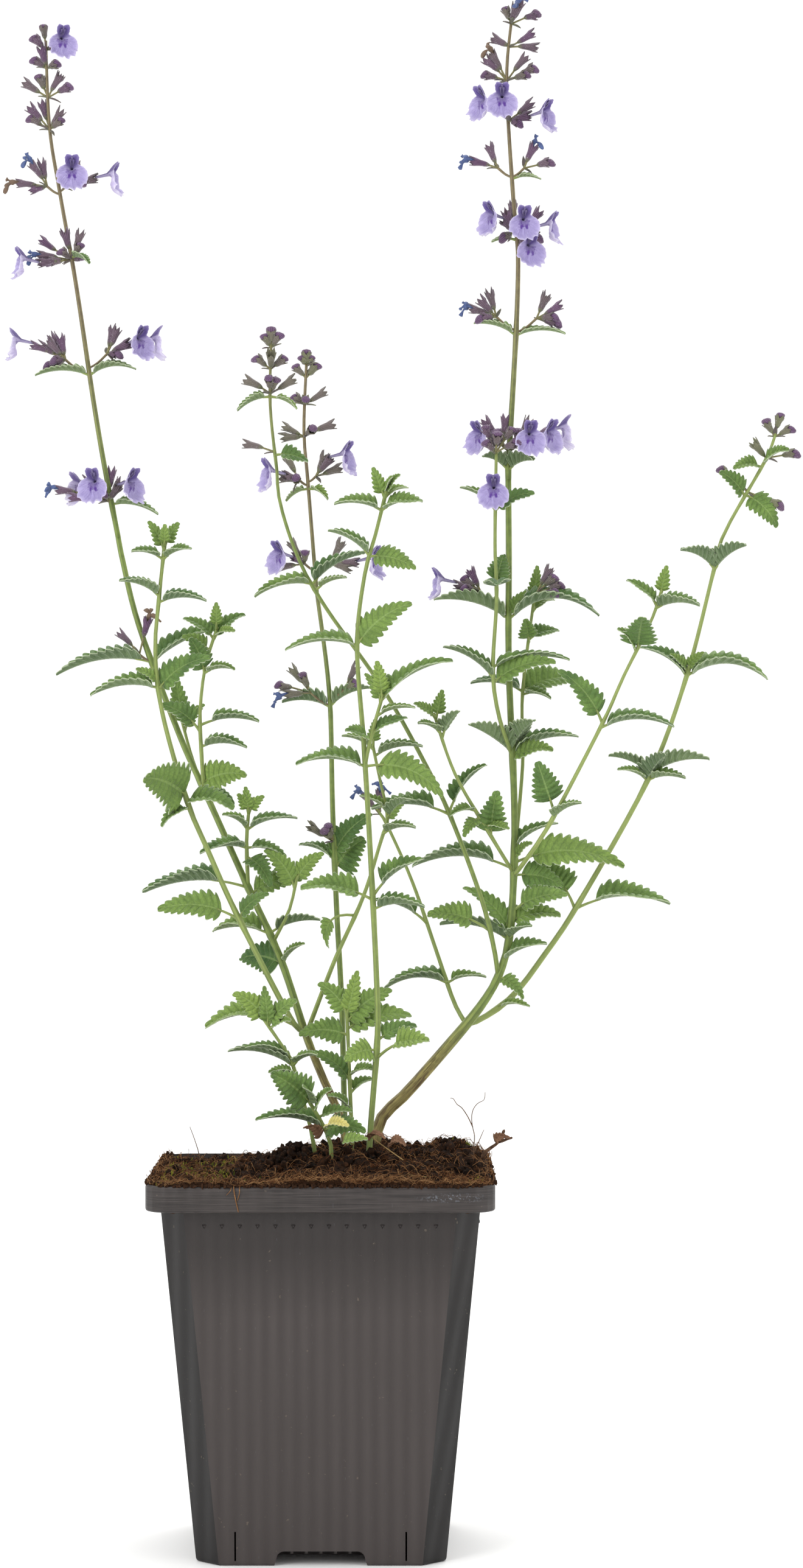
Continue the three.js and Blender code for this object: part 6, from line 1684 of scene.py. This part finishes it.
def bevel(bm, picked, offset, segments, kind="OFFSET"):
    """Cuts or rounds the edges that are picked."""
    bmesh.ops.bevel(bm, geom=[e for e in bm.edges if picked(e)], offset=offset,
                    offset_type=kind, segments=segments, profile=0.5, affect="EDGES",
                    material=-1)


def tapered(low_width, high_width, low, high):
    """A square block that widens upward, with its upright corners cut off."""
    bm = block(low_width, low_width, low, high)
    share = high_width / low_width
    for vert in bm.verts:
        if vert.co.z > (low + high) / 2:
            vert.co.x *= share
            vert.co.y *= share
    bevel(bm, upright, CHAMFER * 1.414, 1, "WIDTH")
    return bm


def rounded(width, corner, low, high):
    """A square slab with rounded upright corners."""
    bm = block(width, width, low, high)
    bevel(bm, upright, corner, 8)
    return bm


def turned_copies(bm):
    """The same shape on each of the pot's four sides."""
    source = bm.verts[:] + bm.edges[:] + bm.faces[:]
    for quarter in (1, 2, 3):
        copy = bmesh.ops.duplicate(bm, geom=source)["geom"]
        verts = [g for g in copy if isinstance(g, bmesh.types.BMVert)]
        bmesh.ops.rotate(bm, cent=(0, 0, 0), verts=verts,
                         matrix=Matrix.Rotation(quarter * math.pi / 2, 3, "Z"))
    return bm


def combined(bm, *steps):
    """The mesh after each (operation, other mesh) in turn, joined or cut exactly."""
    base, *others = [shown(mesh_of(made, "tool"), "tool")
                     for made in (bm, *(other for _, other in steps))]
    for (operation, _), other in zip(steps, others):
        joined = base.modifiers.new("step", "BOOLEAN")
        joined.operation = operation
        joined.object = other
        joined.solver = "EXACT"
    out = bmesh.new()
    out.from_mesh(base.evaluated_get(bpy.context.evaluated_depsgraph_get()).to_mesh())
    base.to_mesh_clear()
    for tool in [base, *others]:
        mesh = tool.data
        bpy.data.objects.remove(tool)
        bpy.data.meshes.remove(mesh)
    return out


def body_width(z):
    """Width of the pot's body at a height."""
    return mix(FOOT_WIDTH, TOP_WIDTH, z / BODY_TOP)


def notch_cut():
    """The arched drainage notch: rounded shoulders, and an edge splayed at the foot."""
    bm = block(NOTCH_WIDTH, NOTCH_DEPTH + 10, -2, NOTCH_HEIGHT,
               -(FOOT_WIDTH / 2 - NOTCH_DEPTH / 2 + 5))

    def shoulder(edge):
        a, b = [vert.co for vert in edge.verts]
        return min(a.z, b.z) > NOTCH_HEIGHT - 0.1 and abs(a.x - b.x) < 0.1

    bevel(bm, shoulder, 2.4, 5)
    for vert in bm.verts:
        if vert.co.z < 0:
            vert.co.x *= 1.1
    return turned_copies(bm)


def pot_shell():
    """The moulded pot, its floor arched over the four notches."""
    body = tapered(FOOT_WIDTH, TOP_WIDTH, 0, BODY_TOP + 0.2)
    bevel(body, lambda e: max(v.co.z for v in e.verts) < 0.1 and not upright(e), 1.2, 3)
    rim = rounded(RIM_WIDTH, RIM_CORNER, BODY_TOP, POT_HEIGHT)
    bevel(rim, lambda e: not upright(e) and all(len(v.link_edges) == 3 for v in e.verts),
          0.8, 3)
    floor, ledge = WALL, BODY_TOP + WALL
    hollow = tapered(body_width(floor) - 2 * WALL, body_width(ledge) - 2 * WALL, floor,
                     ledge + 0.01)
    mouth = rounded(RIM_WIDTH - 2 * WALL, RIM_CORNER - WALL, ledge, POT_HEIGHT + 10)
    roofs = turned_copies(block(NOTCH_WIDTH + 2 * WALL, NOTCH_DEPTH + WALL, 0.1,
                                NOTCH_HEIGHT + WALL,
                                -(FOOT_WIDTH / 2 - 0.6 - (NOTCH_DEPTH + WALL) / 2)))
    slits = new_mesh()
    for side in (-1, 1):
        block(SLIT_WIDTH, 5, SLIT_FROM, SLIT_TO, -FOOT_WIDTH / 2, side * SLIT_OFFSET, slits)
    return combined(body, ("UNION", rim), ("DIFFERENCE", hollow), ("DIFFERENCE", mouth),
                    ("UNION", roofs), ("DIFFERENCE", notch_cut()),
                    ("DIFFERENCE", turned_copies(slits)))


def pot_trim():
    """Small moulded wedges in a row under the rim, and ribs under the notch roofs."""
    bm = new_mesh()
    for k in range(WEDGES):
        x = (k - (WEDGES - 1) / 2) * FLUTE * 1.14
        made = bmesh.ops.create_cone(bm, cap_ends=True, segments=3, radius1=1.05,
                                     radius2=0.45, depth=0.6)["verts"]
        for degrees, axis in ((90, "X"), (180, "Y")):
            bmesh.ops.rotate(bm, verts=made, cent=(0, 0, 0),
                             matrix=Matrix.Rotation(math.radians(degrees), 3, axis))
        bmesh.ops.translate(bm, verts=made, vec=(
            x, -body_width(WEDGES_AT) / 2 - 0.1, WEDGES_AT))
    for k in range(-2, 3):
        block(0.9, 12, NOTCH_HEIGHT - 1.4, NOTCH_HEIGHT + 0.2, -FOOT_WIDTH / 2 + 9,
              RIB_SPACING * k, bm)
    return turned_copies(bm)


def map_sides(bm):
    """Maps each face by its distance along its own side, for the flutes, and marks the
    cut corners of the body, on which the pot's material paints shade."""
    uv_layer = bm.loops.layers.uv["blade"]
    corner_shades = bm.loops.layers.float_color.new("corner_shade")
    for face in bm.faces:
        middle = face.calc_center_median()
        outside = face.normal.dot(middle * Vector((1, 1, 0))) > 0
        turned = abs(face.normal.x) > abs(face.normal.y)
        slanted = min(abs(face.normal.x), abs(face.normal.y)) > 0.4
        corner_shade = float(slanted and outside and middle.z < BODY_TOP)
        face.smooth = True
        face.material_index = 0
        for loop in face.loops:
            co = loop.vert.co
            loop[uv_layer].uv = ((co.y if turned else co.x) * MM, co.z * MM)
            loop[corner_shades] = (corner_shade, corner_shade, corner_shade, 1.0)


pot = pot_shell()
map_sides(pot)
bmesh.ops.triangulate(pot, faces=[f for f in pot.faces if len(f.verts) > 4])
pot_piece = finished(pot, "nursery_pot", "pot_plastic", [PLASTIC], ["pot"])
trim = pot_trim()
map_sides(trim)
for face in trim.faces:
    face.smooth = False
finished(trim, "pot_moulded_trim", "pot_plastic", [PLASTIC])
pot_piece.data.set_sharp_from_angle(angle=math.radians(28))

# ------------------------------------------------------------------ floor, light, camera

# A plain floor without a pattern, so pale that only the plant's shade shows on it.
paper = finish_of("Floor_PalePaper", Base_Color="#FDFDFC", Roughness=0.9)
floor = new_mesh()


def sweep(u, v):
    """A floor that curves up into a wall far behind."""
    x = (u - 0.5) * 12000
    t = v * 3
    if t < 1:
        return Vector((x, mix(-3000, 2200, t), 0))
    if t < 2:
        a = (t - 1) * math.pi / 2
        return Vector((x, 2200 + 800 * math.sin(a), 800 - 800 * math.cos(a)))
    return Vector((x, 3000, mix(800, 4500, t - 2)))


sheet(floor, 2, 36, sweep)
bmesh.ops.scale(floor, vec=(MM, MM, MM), verts=floor.verts)
studio = shown(mesh_of(floor, "studio_sweep"), "studio_sweep")
studio.data.materials.append(paper)

world = bpy.data.worlds.new("studio_air")
bpy.context.scene.world = world
world.use_nodes = True
air = world.node_tree.nodes["Background"]
air.inputs["Color"].default_value = (1.0, 1.0, 1.0, 1.0)
air.inputs["Strength"].default_value = 1.0


def lamp(name, spot, aim, size, power):
    """A soft rectangular studio light."""
    data = bpy.data.lights.new(name, "AREA")
    data.shape = "RECTANGLE"
    data.size, data.size_y = size
    data.energy = power
    made = shown(data, name)
    made.location = spot
    way = Vector(aim) - Vector(spot)
    made.rotation_euler = way.to_track_quat("-Z", "Y").to_euler()


lamp("key_left", (-1.2, -1.4, 1.2), (0, 0, 0.25), (0.9, 1.1), 16)
lamp("fill_right", (1.6, -1.2, 0.7), (0, 0, 0.2), (1.0, 1.4), 7)
lamp("top_back", (0.2, 0.9, 1.7), (0, 0, 0.3), (1.2, 0.8), 14)
# A plain display transform: studio white stays white and the greens keep their depth.
bpy.context.scene.view_settings.view_transform = "Standard"

camera_data = bpy.data.cameras.new("camera")
camera_data.sensor_width = 36.0
camera_data.lens = 88.06
camera_data.clip_start, camera_data.clip_end = 0.05, 30.0
camera = shown(camera_data, "camera")
camera.location = STANDPOINT * MM
camera.rotation_euler = (math.radians(90), 0, 0)
bpy.context.scene.camera = camera
